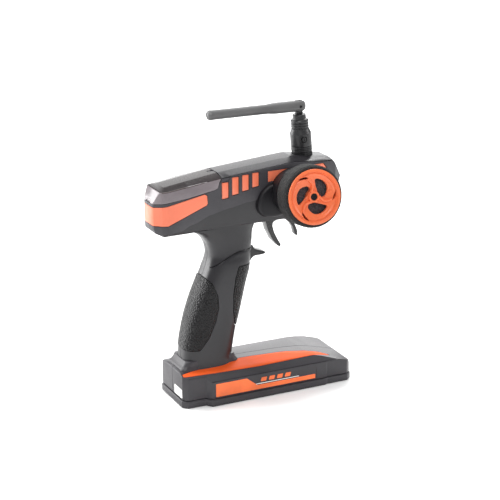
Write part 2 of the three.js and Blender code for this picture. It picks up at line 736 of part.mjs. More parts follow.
// The trigger's side view: hub, rear blade and front hook.
function triggerBody() {
  const [pivotX, pivotZ] = TRIGGER_PIVOT;
  const blade = [
    [8.2, 151], [6.9, 142.7], [9.6, 134], [14, 125.4], [18.4, 120.3], [20.2, 119.5], [20.3, 121.2],
    [17.8, 124.6], [14, 132], [12.6, 138], [13.6, 141.2], [17.5, 142.6], [19.5, 145], [18.8, 151],
  ];
  const hook = [
    [16, 142.2], [21.5, 143.1], [26.6, 141], [30.4, 137.6], [33.2, 133.2], [34.8, 127.4], [36, 126],
    [37.4, 126.8], [36.8, 131], [35, 135.4], [32, 139.4], [27.6, 143.4], [22, 145.6], [16, 146],
  ];
  const half = TRIGGER_WIDTH / 2;
  const hub = rod(5.6, -half, half, 24).rotate([90, 0, 0]).translate([pivotX, 0, pivotZ]);
  const bore = rod(2 + GAP, -20, 20, 20).rotate([90, 0, 0]).translate([pivotX, 0, pivotZ]);
  return cut(join([alongY(blade, -half, half), alongY(hook, -3, 3), hub]), bore);
}

const throughTrigger = (body) => body.rotate([90, 0, 0]).translate([TRIGGER_PIVOT[0], 0, TRIGGER_PIVOT[1]]);
const triggerShaft = () => throughTrigger(rod(2, -8.4, 12.6, 20));
const triggerSpring = () => throughTrigger(coil(3.6, 0.45, 6.2, 11, 4));

function throttlePot() {
  const can = rod(4.5, -13.4, -8.8, 20);
  return throughTrigger(can.add(box([-2.5, 2.5], [4, 8], [-13.4, -12])));
}

// ---------------------------------------------------------------- antenna

function antennaBase() {
  const ribs = Array.from({ length: 48 }, (_, i) => {
    const point = polar(i % 2 ? 8.5 : 8, i * 7.5);
    return [point.x, point.y];
  });
  const knurl = alongZ(ribs, -2, 2.6);
  const bore = rod(3.2, -10, 10, 16);
  return placed(cut(knurl, bore), antennaFrame).subtract(headForm(-GAP));
}

function antennaKnuckle() {
  const shoulderHeight = ANTENNA_PIVOT_HEIGHT - 6.6;
  const body = turned([
    [0, 3], [8.4, 3], [8.7, 3.4], [8.7, 18.6], [7.2, 21.2], [7.2, 28.4], [6.6, 29.4], [5.5, 29.8],
    [5.5, shoulderHeight - 0.6], [4.8, shoulderHeight], [0, shoulderHeight],
  ], 24);
  const tab = box([-3, 3], [-1.3, 1.3], [shoulderHeight - 1, ANTENNA_PIVOT_HEIGHT]);
  const tabEnd = rod(3, -1.3, 1.3, 20).rotate([90, 0, 0]).translate([0, 0, ANTENNA_PIVOT_HEIGHT]);
  const bore = rod(1.35, -5, 5, 12).rotate([90, 0, 0]).translate([0, 0, ANTENNA_PIVOT_HEIGHT]);
  return placed(cut(join([body, tab, tabEnd]), bore), antennaFrame);
}

const antennaPivot = new THREE.Vector3(0, 0, ANTENNA_PIVOT_HEIGHT).applyMatrix4(antennaFrame).toArray();

// The arm lies folded to the rear, level; its local Z axis runs from the pivot to the tip.
const armPlaced = (body) => body.rotate([0, -90, 0]).translate(antennaPivot);

function antennaArm() {
  const tip = ANTENNA_ARM_LENGTH;
  const arm = turned([
    [0, -5.4], [3, -5.4], [4.2, -4.4], [4.7, -2.8], [4.7, 22], [4, 27], [4, tip - 2.4], [3.3, tip - 0.8],
    [1.6, tip], [0, tip],
  ], 20);
  const slot = box([-6, 6], [-1.6, 1.6], [-7, 3.5]);
  const bore = rod(1.25, -6, 6, 12).rotate([90, 0, 0]);
  return armPlaced(cut(arm, slot, bore));
}

const antennaPin = () => armPlaced(rod(0.95, -4.3, 4.3, 12).rotate([90, 0, 0]));

// ---------------------------------------------------------------- control panel and its controls

const PANEL_HALF = [19, 13];
const PANEL_THICKNESS = 1.6;
const KNOBS = {
  steering_trim_knob: [-12.5, 7],
  throttle_trim_knob: [-12.5, -7],
  dual_rate_knob: [-1, 7],
};
const SWITCHES = {
  steering_reverse_switch: [8, -8.5],
  throttle_reverse_switch: [8, 8.5],
};
const POWER_SWITCH = [-1, -7];
const BIND_BUTTON = [11.5, 0];
const LENSES = [[3, 2.2], [3, -2.2]];

function controlPanel() {
  const plate = box([-PANEL_HALF[0], PANEL_HALF[0]], [-PANEL_HALF[1], PANEL_HALF[1]], [-PANEL_THICKNESS, 0]);
  const knobHoles = Object.values(KNOBS).map(([x, y]) => rod(1.9, -5, 5, 12).translate([x, y, 0]));
  const slots = Object.values(SWITCHES).map(([x, y]) => box([x - 0.9, x + 0.9], [y - 2.6, y + 2.6], [-5, 5]));
  const [powerX, powerY] = POWER_SWITCH;
  const powerSlot = box([powerX - 4, powerX + 4], [powerY - 1.1, powerY + 1.1], [-5, 5]);
  const buttonHole = rod(2.3, -5, 5, 16).translate([...BIND_BUTTON, 0]);
  const lensHoles = LENSES.map(([x, y]) => rod(1.3, -5, 5, 12).translate([x, y, 0]));
  return placed(cut(plate, ...knobHoles, ...slots, powerSlot, buttonHole, ...lensHoles), panelFrame);
}

function knob([x, y]) {
  const outline = Array.from({ length: 24 }, (_, i) => {
    const point = polar(i % 2 ? 4.2 : 3.8, i * 15);
    return [point.x, point.y];
  });
  const cap = alongZ(outline, 0.4, 4.2);
  const pointer = box([0.5, 5], [-0.35, 0.35], [3.7, 6]);
  const stem = rod(1.5, -3.4, 0.5, 12);
  return placed(cut(cap, pointer).add(stem).translate([x, y, 0]), panelFrame);
}

function reverseSwitch([x, y]) {
  const slider = box([x - 0.6, x + 0.6], [y - 2.2, y - 0.6], [-2.8, 1.6]);
  return placed(slider, panelFrame);
}

function powerSwitch([x, y]) {
  const stem = box([x - 3.6, x - 0.2], [y - 0.8, y + 0.8], [-2.8, 1]);
  const thumb = box([x - 3.9, x + 0.1], [y - 2, y + 2], [0.4, 2.2]);
  const grooves = [-3, -1.9, -0.8].map((at) => box([x + at - 0.25, x + at + 0.25], [y - 3, y + 3], [1.7, 3]));
  return placed(cut(stem.add(thumb), ...grooves), panelFrame);
}

const bindButton = () => placed(rod(2, -3, 1.6, 16).translate([...BIND_BUTTON, 0]), panelFrame);

function lightPipe() {
  const lenses = LENSES.map(([x, y]) => rod(1, -4, 0.5, 12).translate([x, y, 0]));
  const bridge = box([2, 4], [-3.2, 3.2], [-4.6, -3.8]);
  return placed(join([...lenses, bridge]), panelFrame);
}

// ---------------------------------------------------------------- electronics

function mainBoard() {
  const board = box([-80, -14], [-12, 12], [162, 163.6]);
  const chip = box([-52, -42], [-5, 5], [163.5, 165]);
  const connector = box([-24, -17], [-8, 8], [163.5, 167]);
  return join([board, chip, connector]);
}

function radioModule() {
  const board = box([32, 56], [-9, 9], [180.4, 181.6]);
  const can = box([36, 53], [-7, 7], [181.5, 184.4]);
  return join([board, can]);
}

function antennaLead() {
  const path = new THREE.CatmullRomCurve3([
    new THREE.Vector3(42.4, 0, 184.9), new THREE.Vector3(42.4, 0, 187), new THREE.Vector3(42.3, 0, 190),
    new THREE.Vector3(41.7, 0, 197),
  ]);
  const section = Array.from({ length: 8 }, (_, i) => {
    const point = polar(0.9, i * 45);
    return [point.x, point.y];
  });
  const settings = { steps: 8, extrudePath: path, bevelEnabled: false };
  return solid(new THREE.ExtrudeGeometry(shapeOf(section), settings));
}

// ---------------------------------------------------------------- assembly

const transmitter = new THREE.Group();

function add(name, body, material) {
  const mesh = new THREE.Mesh(geometryOf(body), material());
  mesh.name = name;
  transmitter.add(mesh);
}

add("housing_left", housingLeft(), charcoal);
add("housing_right", housingRight(), charcoal);
add("top_cover", topCover(), glossBlack);
add("flip_cover", flipCover(), clearSmoke);
add("cover_hinge_pin", coverHingePin(), steel);
add("rear_trim", rearTrim(), orange);
add("side_inlay_left", sideInlay(1), orange);
add("side_inlay_right", sideInlay(-1), orange);
add("grip_pad_rear", rearPad(), rubber);
add("grip_pad_front", frontPad(), rubber);
SCREW_PLACES.forEach((place, i) => add("case_screw_" + (i + 1), caseScrew(place), steel));

add("base_stripe", baseStripe(), orange);
add("base_tray", baseTray(), charcoal);
add("battery_door", batteryDoor(), charcoal);
add("charge_jack", chargeJack(), glossBlack);
for (let row = 0; row < 2; row++)
  for (let column = 0; column < 4; column++)
    add("battery_cell_" + (row * 4 + column + 1), cell(column, row), cellWrap);
const rearContactX = BAY_REAR + 2;
const frontContactX = BAY_FRONT - 2;
add("contact_rear_right", contact(rearContactX, -26, -16), steel);
add("contact_rear_bridge", contact(rearContactX, -12, 12), steel);
add("contact_rear_left", contact(rearContactX, 16, 26), steel);
add("contact_front_right", contact(frontContactX, -26, -2), steel);
add("contact_front_left", contact(frontContactX, 2, 26), steel);

add("wheel_boss", wheelBoss(), glossBlack);
add("wheel_rim", placed(wheelRim(), wheelFrame), orange);
add("wheel_tyre", placed(wheelTyre(), wheelFrame), rubber);
add("wheel_axle", placed(wheelAxle(), wheelFrame), steel);
add("wheel_screw", placed(wheelScrew(), wheelFrame), steel);
add("steering_spring", placed(steeringSpring(), wheelFrame), steel);
add("steering_pot", placed(steeringPot(), wheelFrame), glossBlack);

add("trigger", triggerBody(), glossBlack);
add("trigger_shaft", triggerShaft(), steel);
add("trigger_spring", triggerSpring(), steel);
add("throttle_pot", throttlePot(), glossBlack);

add("antenna_base", antennaBase(), glossBlack);
add("antenna_knuckle", antennaKnuckle(), glossBlack);
add("antenna_arm", antennaArm(), glossBlack);
add("antenna_pin", antennaPin(), steel);

add("control_panel", controlPanel(), glossBlack);
Object.entries(KNOBS).forEach(([name, place]) => add(name, knob(place), charcoal));
Object.entries(SWITCHES).forEach(([name, place]) => add(name, reverseSwitch(place), charcoal));
add("power_switch", powerSwitch(POWER_SWITCH), charcoal);
add("bind_button", bindButton(), charcoal);
add("light_pipe", lightPipe(), clearSmoke);

add("main_board", mainBoard(), boardGreen);
add("radio_module", radioModule(), boardGreen);
add("antenna_lead", antennaLead(), rubber);

export default transmitter;
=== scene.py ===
import math

import bmesh
import bpy
from mathutils import Matrix, Vector, noise


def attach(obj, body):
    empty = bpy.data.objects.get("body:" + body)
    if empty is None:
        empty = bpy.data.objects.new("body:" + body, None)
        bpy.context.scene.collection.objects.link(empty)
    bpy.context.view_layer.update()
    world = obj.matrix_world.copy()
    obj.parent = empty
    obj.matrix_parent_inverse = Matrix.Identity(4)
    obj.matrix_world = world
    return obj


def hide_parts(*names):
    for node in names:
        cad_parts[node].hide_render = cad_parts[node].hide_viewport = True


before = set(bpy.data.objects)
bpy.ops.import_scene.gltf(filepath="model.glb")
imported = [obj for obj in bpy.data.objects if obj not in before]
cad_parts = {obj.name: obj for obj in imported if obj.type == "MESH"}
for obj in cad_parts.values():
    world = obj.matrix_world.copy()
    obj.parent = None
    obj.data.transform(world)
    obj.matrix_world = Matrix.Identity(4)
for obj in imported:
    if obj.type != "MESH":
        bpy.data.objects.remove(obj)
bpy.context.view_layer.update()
scene = bpy.context.scene

# Everything below is modelled in millimetres, +X forward, +Z up, and becomes metres when a piece is finished.
MM = 0.001
FAR = 60  # half length of a cutting body
GAP = 0.35  # half the width of a seam round a panel
WALL = 2  # thickness of the housing's skin
COVER_WALL = 1.5
SEAM = 0.25  # half the width of the seam between the housing's halves
LOOSE, FLUSH = 0.1, -0.05  # how far a zone grows for an opening, and for the panel set into it

# ---------------------------------------------------------------- camera


def aim(obj, location, target):
    obj.location = location
    obj.rotation_euler = (Vector(target) - Vector(location)).to_track_quat("-Z", "Y").to_euler()


camera = bpy.data.objects.new("camera", bpy.data.cameras.new("camera"))
scene.collection.objects.link(camera)
aim(camera, (-0.5113, -1.0433, 0.5003), (-0.01248, -0.015, 0.12405))
camera.data.lens = 107.4
camera.data.sensor_width = 36
camera.data.clip_start = 0.05
scene.camera = camera

# ---------------------------------------------------------------- mesh tools


def solid(verts, faces):
    mesh = bpy.data.meshes.new("work")
    mesh.from_pydata([tuple(v) for v in verts], [], faces)
    bm = bmesh.new()
    bm.from_mesh(mesh)
    bmesh.ops.remove_doubles(bm, verts=bm.verts, dist=1e-4)
    bmesh.ops.recalc_face_normals(bm, faces=bm.faces)
    bm.to_mesh(mesh)
    bm.free()
    obj = bpy.data.objects.new("work", mesh)
    scene.collection.objects.link(obj)
    return obj


def applied(obj):
    depsgraph = bpy.context.evaluated_depsgraph_get()
    mesh = bpy.data.meshes.new_from_object(obj.evaluated_get(depsgraph))
    old = obj.data
    obj.modifiers.clear()
    obj.data = mesh
    bpy.data.meshes.remove(old)
    return obj


def copy_of(obj):
    other = obj.copy()
    other.data = obj.data.copy()
    scene.collection.objects.link(other)
    return other


def drop(obj):
    bpy.data.objects.remove(obj, do_unlink=True)


def combined(operation, obj, *tools):
    """obj with each tool cut away, joined on or kept in common; the tools are used up."""
    for tool in tools:
        step = obj.modifiers.new("step", "BOOLEAN")
        step.operation = operation
        step.solver = "MANIFOLD"
        step.object = tool
        applied(obj)
        if not obj.data.polygons:
            raise RuntimeError("a cut left nothing")
        drop(tool)
    return obj


def cut(obj, *tools):
    return combined("DIFFERENCE", obj, *tools)


def joined(obj, *tools):
    return combined("UNION", obj, *tools)


def common(obj, *tools):
    return combined("INTERSECT", obj, *tools)


def softened(obj, width, segments=2, angle=50):
    """obj with its edges sharper than the angle rounded off."""
    weld = obj.modifiers.new("weld", "WELD")
    weld.merge_threshold = 0.05
    step = obj.modifiers.new("soft", "BEVEL")
    step.width = width
    step.segments = segments
    step.limit_method = "ANGLE"
    step.angle_limit = math.radians(angle)
    step.use_clamp_overlap = False
    return applied(obj)


def moved(obj, matrix):
    obj.data.transform(matrix)
    return obj


# ---------------------------------------------------------------- outlines


def rounded(points, radius, steps=3, least=0.03):
    """A closed outline with each corner turned into a short curve; a curve shorter than least is left out."""
    out = []
    count = len(points)
    for i in range(count):
        corner = Vector(points[i])
        before = Vector(points[i - 1]) - corner
        after = Vector(points[(i + 1) % count]) - corner
        half = before.angle(after) / 2
        reach = min(radius / math.tan(half), 0.45 * before.length, 0.45 * after.length)
        if reach < least:
            out.append(tuple(corner))
            continue
        reach = max(reach, 0.02)
        start = corner + before.normalized() * reach
        end = corner + after.normalized() * reach
        for k in range(steps + 1):
            t = k / steps
            out.append(tuple(start * (1 - t) ** 2 + corner * 2 * t * (1 - t) + end * t * t))
    return out


def through(points, per=6, closed=True):
    """A smooth curve through the points."""
    count = len(points)
    out = []
    for i in range(count if closed else count - 1):
        if closed:
            near = [Vector(points[(i + k) % count]) for k in (-1, 0, 1, 2)]
        else:
            near = [Vector(points[min(max(i + k, 0), count - 1)]) for k in (-1, 0, 1, 2)]
        a, b, c, d = near
        for k in range(per):
            t = k / per
            out.append(tuple(0.5 * (2 * b + (c - a) * t + (2 * a - 5 * b + 4 * c - d) * t * t
                                    + (3 * b - a - 3 * c + d) * t ** 3)))
    if not closed:
        out.append(tuple(points[-1]))
    return out


def inset(points, distance):
    """An outline with each side moved inwards by a distance, or outwards by a negative one."""
    count = len(points)
    area = sum(points[i][0] * points[(i + 1) % count][1] - points[(i + 1) % count][0] * points[i][1]
               for i in range(count))
    turn = math.copysign(1, area) * distance
    out = []
    for i in range(count):
        corner = Vector(points[i])
        a = (corner - Vector(points[i - 1])).normalized()
        b = (Vector(points[(i + 1) % count]) - corner).normalized()
        normal = Vector((-a.y - b.y, a.x + b.x)).normalized()
        reach = turn / (normal.x * -a.y + normal.y * a.x)
        out.append((corner.x + normal.x * reach, corner.y + normal.y * reach))
    return out


def mirrored(points):
    return points + [(a, -b) for a, b in reversed(points)]


def mirrored_first(points):
    return points + [(-a, b) for a, b in reversed(points)]


def between(stations, place):
    """A smooth value at a place between stations, each (place, value)."""
    last = len(stations) - 1
    if place <= stations[0][0]:
        return stations[0][1]
    if place >= stations[last][0]:
        return stations[last][1]
    i = next(k for k in range(last + 1) if stations[k][0] > place) - 1

    def slope(k):
        low, high = stations[max(k - 1, 0)], stations[min(k + 1, last)]
        return (high[1] - low[1]) / (high[0] - low[0])

    (x0, y0), (x1, y1) = stations[i], stations[i + 1]
    span = x1 - x0
    t = (place - x0) / span
    bend0, bend1, rise = slope(i) * span, slope(i + 1) * span, y1 - y0
    return y0 + t * (bend0 + t * (3 * rise - 2 * bend0 - bend1 + t * (bend0 + bend1 - 2 * rise)))


def straight(stations, place):
    """The same along straight lines."""
    i = max(next((k for k, s in enumerate(stations) if s[0] >= place), len(stations) - 1), 1)
    (x0, y0), (x1, y1) = stations[i - 1], stations[i]
    return y0 + (y1 - y0) * (place - x0) / (x1 - x0)


# ---------------------------------------------------------------- solids

PLACE = {
    "x": lambda a, b, t: (t, a, b),
    "y": lambda a, b, t: (a, t, b),
    "z": lambda a, b, t: (a, b, t),
}


def loft(rings):
    """A closed skin over rings that all have the same number of points."""
    count = len(rings[0])
    verts = [v for ring in rings for v in ring]
    faces = [tuple(range(count)), tuple(range(len(verts) - count, len(verts)))]
    for k in range(len(rings) - 1):
        for i in range(count):
            j = (i + 1) % count
            faces.append((k * count + i, k * count + j, (k + 1) * count + j, (k + 1) * count + i))
    return solid(verts, faces)


def prism(points, axis, low, high):
    """A closed outline carried along an axis."""
    return loft([[PLACE[axis](a, b, t) for a, b in points] for t in (low, high)])


def block(x, y, z):
    return prism([(x[0], y[0]), (x[1], y[0]), (x[1], y[1]), (x[0], y[1])], "z", *z)


def polar(radius, degrees):
    return (radius * math.cos(math.radians(degrees)), radius * math.sin(math.radians(degrees)))


def rod(radius, low, high, steps=48, axis="z"):
    return prism([polar(radius, 360 * i / steps) for i in range(steps)], axis, low, high)


def turned(profile, steps=96):
    """A body turned about the local Z axis; a profile off the axis closes on itself."""
    count = len(profile)
    closed = profile[0][0] > 1e-6
    verts, faces = [], []
    for k in range(steps):
        for radius, height in profile:
            verts.append((*polar(radius, 360 * k / steps), height))
    for k in range(steps):
        n = (k + 1) % steps
        for i in range(count if closed else count - 1):
            j = (i + 1) % count
            ring = [k * count + i, k * count + j, n * count + j, n * count + i]
            if profile[i][0] < 1e-6:
                ring = [k * count + i, k * count + j, n * count + j]
            elif profile[j][0] < 1e-6:
                ring = [k * count + i, k * count + j, n * count + i]
            faces.append(tuple(ring))
    return solid(verts, faces)


# ---------------------------------------------------------------- frames of the tilted parts


def frame_of(origin, x_axis, z_axis):
    y_axis = z_axis.cross(x_axis)
    matrix = Matrix((x_axis, y_axis, z_axis)).transposed().to_4x4()
    matrix.translation = origin
    return matrix


YAW, TILT = math.radians(4.6), math.radians(8.9)
WHEEL = frame_of(
    (19.4, -65, 177.4),
    Vector((math.cos(YAW), -math.sin(YAW), 0)),
    Vector((-math.sin(YAW) * math.cos(TILT), -math.cos(YAW) * math.cos(TILT), math.sin(TILT))),
)
ANTENNA = Matrix.Translation((41.9, 0, 194.6)) @ Matrix.Rotation(math.radians(-5.4), 4, "Y")
PIVOT_HEIGHT = 40.4
ARM = Matrix.Translation(ANTENNA @ Vector((0, 0, PIVOT_HEIGHT))) @ Matrix.Rotation(math.radians(-90), 4, "Y")

# ---------------------------------------------------------------- materials


def material(name, color, roughness, **sockets):
    made = bpy.data.materials.new(name)
    made.use_nodes = True
    shader = made.node_tree.nodes["Principled BSDF"]
    shader.inputs["Base Color"].default_value = (*color, 1)
    shader.inputs["Roughness"].default_value = roughness
    for socket, value in sockets.items():
        shader.inputs[socket.replace("_", " ")].default_value = value
    return made


def node(made, kind, **settings):
    new = made.node_tree.nodes.new(kind)
    for key, value in settings.items():
        if hasattr(new, key):
            setattr(new, key, value)
        else:
            new.inputs[key.replace("_", " ")].default_value = value
    return new


def link(made, output, target):
    made.node_tree.links.new(output, target)


def noise_of(made, size, detail=3.0, kind="ShaderNodeTexNoise"):
    """A noise whose features are about size metres across."""
    where = node(made, "ShaderNodeTexCoord")
    texture = node(made, kind)
    texture.inputs["Scale"].default_value = 1 / size
    if kind == "ShaderNodeTexNoise":
        texture.inputs["Detail"].default_value = detail
    link(made, where.outputs["Object"], texture.inputs["Vector"])
    return texture


def varied(made, source, color_a, color_b, low=0.35, high=0.65):
    """Base colour that wanders between two colours."""
    shader = made.node_tree.nodes["Principled BSDF"]
    spread = node(made, "ShaderNodeMapRange")
    spread.inputs["From Min"].default_value = low
    spread.inputs["From Max"].default_value = high
    link(made, source, spread.inputs["Value"])
    mix = node(made, "ShaderNodeMix", data_type="RGBA")
    mix.inputs["A"].default_value = (*color_a, 1)
    mix.inputs["B"].default_value = (*color_b, 1)
    link(made, spread.outputs["Result"], mix.inputs["Factor"])
    link(made, mix.outputs["Result"], shader.inputs["Base Color"])


def rough_between(made, source, low, high):
    shader = made.node_tree.nodes["Principled BSDF"]
    spread = node(made, "ShaderNodeMapRange")
    spread.inputs["From Min"].default_value = 0.3
    spread.inputs["From Max"].default_value = 0.7
    spread.inputs["To Min"].default_value = low
    spread.inputs["To Max"].default_value = high
    link(made, source, spread.inputs["Value"])
    link(made, spread.outputs["Result"], shader.inputs["Roughness"])


def bumped(made, source, strength, distance):
    shader = made.node_tree.nodes["Principled BSDF"]
    bump = node(made, "ShaderNodeBump")
    bump.inputs["Strength"].default_value = strength
    bump.inputs["Distance"].default_value = distance
    link(made, source, bump.inputs["Height"])
    existing = shader.inputs["Normal"].links
    if existing:
        link(made, existing[0].from_socket, bump.inputs["Normal"])
    link(made, bump.outputs["Normal"], shader.inputs["Normal"])


def moulded(name, color, roughness, grain=0.0006, grain_depth=0.00003, spread=0.06, **sockets):
    """Moulded plastic: faint cloudy colour and gloss, and a fine grain."""
    made = material(name, color, roughness, **sockets)
    cloud = noise_of(made, 0.03, 4)
    varied(made, cloud.outputs["Fac"], [c * (1 - 2.2 * spread) for c in color],
           [c * (1 + 2.2 * spread) for c in color])
    fine = noise_of(made, grain, 2)
    rough_between(made, fine.outputs["Fac"], roughness * 0.86, roughness * 1.14)
    bumped(made, fine.outputs["Fac"], 0.6, grain_depth)
    return made


charcoal = moulded("charcoal_plastic", (0.042, 0.04, 0.046), 0.46, grain=0.0007, grain_depth=0.00005)
# Darker and smoother than the charcoal: the grip's own plastic, and painted shade where the head shell puts
# it on its down-facing facet.
charcoal_smooth_and_shade = moulded("charcoal_smooth_and_shade", (0.0125, 0.012, 0.0145), 0.34, grain_depth=0.000012)
base_plastic = moulded("base_plastic", (0.03, 0.028, 0.033), 0.4, grain=0.0007, grain_depth=0.00003)
speckled = moulded("speckled_plastic", (0.007, 0.0068, 0.008), 0.55, grain=0.0011, grain_depth=0.0002,
                   Specular_IOR_Level=0.12)
gloss_black = moulded("gloss_black_plastic", (0.016, 0.016, 0.017), 0.27, grain_depth=0.00001)
top_gloss = moulded("top_gloss_plastic", (0.026, 0.025, 0.028), 0.3, grain_depth=0.000008,
                    Specular_IOR_Level=0.15)
smoked = moulded("smoked_plastic", (0.21, 0.183, 0.195), 0.2, grain_depth=0.000006,
                 Transmission_Weight=0.1, IOR=1.5)
smoked_band = moulded("smoked_band_plastic", (0.06, 0.044, 0.042), 0.2, grain_depth=0.000006)
smoked_top = moulded("smoked_top_plastic", (0.026, 0.021, 0.022), 0.26, grain_depth=0.000006,
                     Specular_IOR_Level=0.13)
orange = moulded("orange_plastic", (0.86, 0.2, 0.105), 0.34, grain_depth=0.000015, spread=0.03)
orange_matt = moulded("orange_matt_plastic", (0.76, 0.1, 0.018), 0.6, grain_depth=0.000015, spread=0.03,
                      Specular_IOR_Level=0.15)
orange_rim = moulded("orange_rim_plastic", (0.8, 0.16, 0.055), 0.3, grain_depth=0.000012, spread=0.03)
dark_control = moulded("control_plastic", (0.022, 0.022, 0.023), 0.45)
component = moulded("component_plastic", (0.018, 0.018, 0.019), 0.4)
antenna_black = moulded("antenna_plastic", (0.024, 0.024, 0.026), 0.34, grain=0.0009, grain_depth=0.00007)
arm_black = moulded("antenna_arm_plastic", (0.11, 0.11, 0.111), 0.4, grain=0.0009, grain_depth=0.00009)
boss_black = moulded("boss_plastic", (0.0075, 0.007, 0.009), 0.46, grain_depth=0.00003,
                     Specular_IOR_Level=0.3)

board = moulded("board_lacquer", (0.015, 0.11, 0.045), 0.3, grain=0.002, grain_depth=0.00005, spread=0.12)
label_paper = moulded("label_white", (0.82, 0.81, 0.79), 0.5, spread=0.02)
label_orange = moulded("label_orange", (0.93, 0.17, 0.04), 0.35, spread=0.08)
lens = moulded("lens_plastic", (0.4, 0.4, 0.38), 0.15, Transmission_Weight=0.6)
cell_wrap = moulded("cell_wrap", (0.03, 0.045, 0.06), 0.3, spread=0.1, Metallic=0.3)


def pebbled(name, size, depth, color, roughness, **sockets):
    """Moulded rubber with an irregular pebble, painted lighter on each pebble's crown and darker in the
    hollows: painted highlight and shade.
    """
    made = material(name, color, roughness, **sockets)
    cells = noise_of(made, size, kind="ShaderNodeTexVoronoi")
    cells.feature = "SMOOTH_F1"
    # Painted highlight on the pebbles' crowns and painted shade in the hollows between them.
    varied(made, cells.outputs["Distance"], [c * 1.35 for c in color], [c * 0.55 for c in color], 0.1, 0.6)
    flip = node(made, "ShaderNodeMath", operation="SUBTRACT")
    flip.inputs[0].default_value = 1
    link(made, cells.outputs["Distance"], flip.inputs[1])
    bumped(made, flip.outputs[0], 1, depth)
    fine = noise_of(made, size / 4, 2)
    rough_between(made, fine.outputs["Fac"], roughness * 0.8, roughness * 1.2)
    return made


pad_rubber = pebbled("pad_rubber", 0.0012, 0.001, (0.0045, 0.0045, 0.0052), 0.34, Specular_IOR_Level=0.3)
foam = pebbled("tyre_foam", 0.0013, 0.0007, (0.011, 0.011, 0.011), 0.85)
backing_foam = pebbled("backing_foam", 0.0015, 0.0008, (0.055, 0.052, 0.06), 0.7)


def metal(name, color, roughness):
    made = material(name, color, roughness, Metallic=1.0)
    streak = noise_of(made, 0.0015, 4)
    varied(made, streak.outputs["Fac"], [c * 0.85 for c in color], [min(1, c * 1.1) for c in color])
    rough_between(made, streak.outputs["Fac"], roughness * 0.75, roughness * 1.25)
    bumped(made, streak.outputs["Fac"], 0.3, 0.00002)
    return made


steel = metal("plated_steel", (0.5, 0.5, 0.51), 0.32)
nickel = metal("nickel_plate", (0.62, 0.6, 0.56), 0.25)

# ---------------------------------------------------------------- finished pieces


def tidied(obj):
    bm = bmesh.new()
    bm.from_mesh(obj.data)
    bmesh.ops.remove_doubles(bm, verts=bm.verts, dist=0.004)
    bmesh.ops.dissolve_degenerate(bm, edges=bm.edges, dist=0.004)
    bmesh.ops.recalc_face_normals(bm, faces=bm.faces)
    bm.to_mesh(obj.data)
    bm.free()


def piece(obj, name, body, materials, replaces=(), sharp=32, pick=None):
    """A finished piece: in metres, named, painted and riding on its body; pick chooses a face's material."""
    tidied(obj)
    obj.name = obj.data.name = name
    obj.data.materials.clear()
    for made in materials:
        obj.data.materials.append(made)
    if pick:
        for face in obj.data.polygons:
            face.material_index = pick(face)
    obj.data.transform(Matrix.Scale(MM, 4))
    obj.data.shade_smooth()
    obj.data.set_sharp_from_angle(angle=math.radians(sharp))
    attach(obj, body)
    if replaces:
        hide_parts(*replaces)
    return obj


# ---------------------------------------------------------------- outer forms

HEAD_BOTTOM = 144.5
HEAD_SIDE = [(-86, 144.5), (36, 146.5), (54, 150.5), (66.5, 161), (73.4, 175), (61.5, 192.6), (28, 196),
             (-38, 190), (-84, 183.2), (-89.5, 181), (-94, 171.5), (-94.4, 156), (-92.6, 147.4)]
HEAD_PLAN = mirrored([(74.2, 8), (65, 15), (45, 18), (-50, 17), (-84, 16), (-88, 14.6), (-93.2, 9.6),
                      (-95, 6)])
HEAD_TOP = [(-96, 181.4), (-84, 183.2), (-38, 190), (28, 196), (61.5, 192.6), (76, 191.1)]
HEAD_SPREAD = 18
# Along the head: how far up the crease over the lower side facet runs, and the half width at the bottom edge.
CREASE = [(-96, 0.1), (-84, 0.1), (-78, 0.18), (-66, 0.32), (-49, 0.43), (-33, 0.48), (-16, 0.52), (-4, 0.53),
          (6, 0.4), (16, 0.2), (28, 0.14), (76, 0.14)]
SKIRT = [(-96, 0.86), (-84, 0.86), (-66, 0.84), (-49, 0.81), (-33, 0.79), (-10, 0.79), (6, 0.83), (28, 0.86),
         (76, 0.82)]


def head_form(depth, radius=1.0):
    """The head without its grip, each surface moved inwards by the given depth."""
    rings = []
    for x in sorted({place for place, _ in HEAD_TOP + CREASE}):
        low, high = HEAD_BOTTOM + depth, straight(HEAD_TOP, x) - depth
        crease, skirt = straight(CREASE, x), straight(SKIRT, x)
        shape = mirrored_first([(skirt - 0.1, 0), (skirt, 0.04), (1, crease), (1, 0.8), (0.95, 0.948),
                                (0.41, 1)])
        section = [(a * (HEAD_SPREAD - depth), low + b * (high - low)) for a, b in shape]
        rings.append([(x, a, b) for a, b in rounded(section, radius, 2, 0)])
    side = prism(rounded(inset(HEAD_SIDE, depth), 1.6), "y", -FAR, FAR)
    plan = prism(rounded(inset(HEAD_PLAN, depth), 1.6), "z", 100, 240)
    return common(loft(rings), side, plan)


GRIP_REAR = [(27, -70.5), (32, -69), (45, -67.7), (57, -65.6), (70, -62.3), (85, -57), (98, -51.3),
             (106, -47.8), (114, -44.9), (122, -43.6), (131, -46), (136, -49.5), (140, -54), (145, -62),
             (170, -62)]
GRIP_FRONT = [(27, -22), (32, -24.4), (45, -22.7), (57, -20.5), (70, -17.3), (85, -14), (98, -11),
              (106, -8.7), (114, -7.6), (122, -6.5), (130, -5.4), (138, -4.7), (145, -1.8), (155, 4),
              (170, 10)]
GRIP_HALF_WIDTH = [(27, 15.5), (34, 14.6), (57, 15), (85, 16), (106, 16), (114, 15.5), (120, 14.6),
                   (130, 14.2), (145, 14.9), (152, 15.4), (160, 15.9), (170, 16)]
PALM_LINE = [(-45, 112), (-36.8, 117.3), (-24.9, 123.1), (-14.5, 124.2), (-5, 125)]
PALM_PROUD, PALM_STEP = 0.75, 1.6  # how far the palm swell stands out, and over what height it rises
PALM_FADE_FROM, PALM_FADE_OVER = 100, 20
FRONT_SQUARENESS, REAR_SQUARENESS = 2.6, 3.4
GRIP_SIDES = 128
GRIP_RINGS = 120


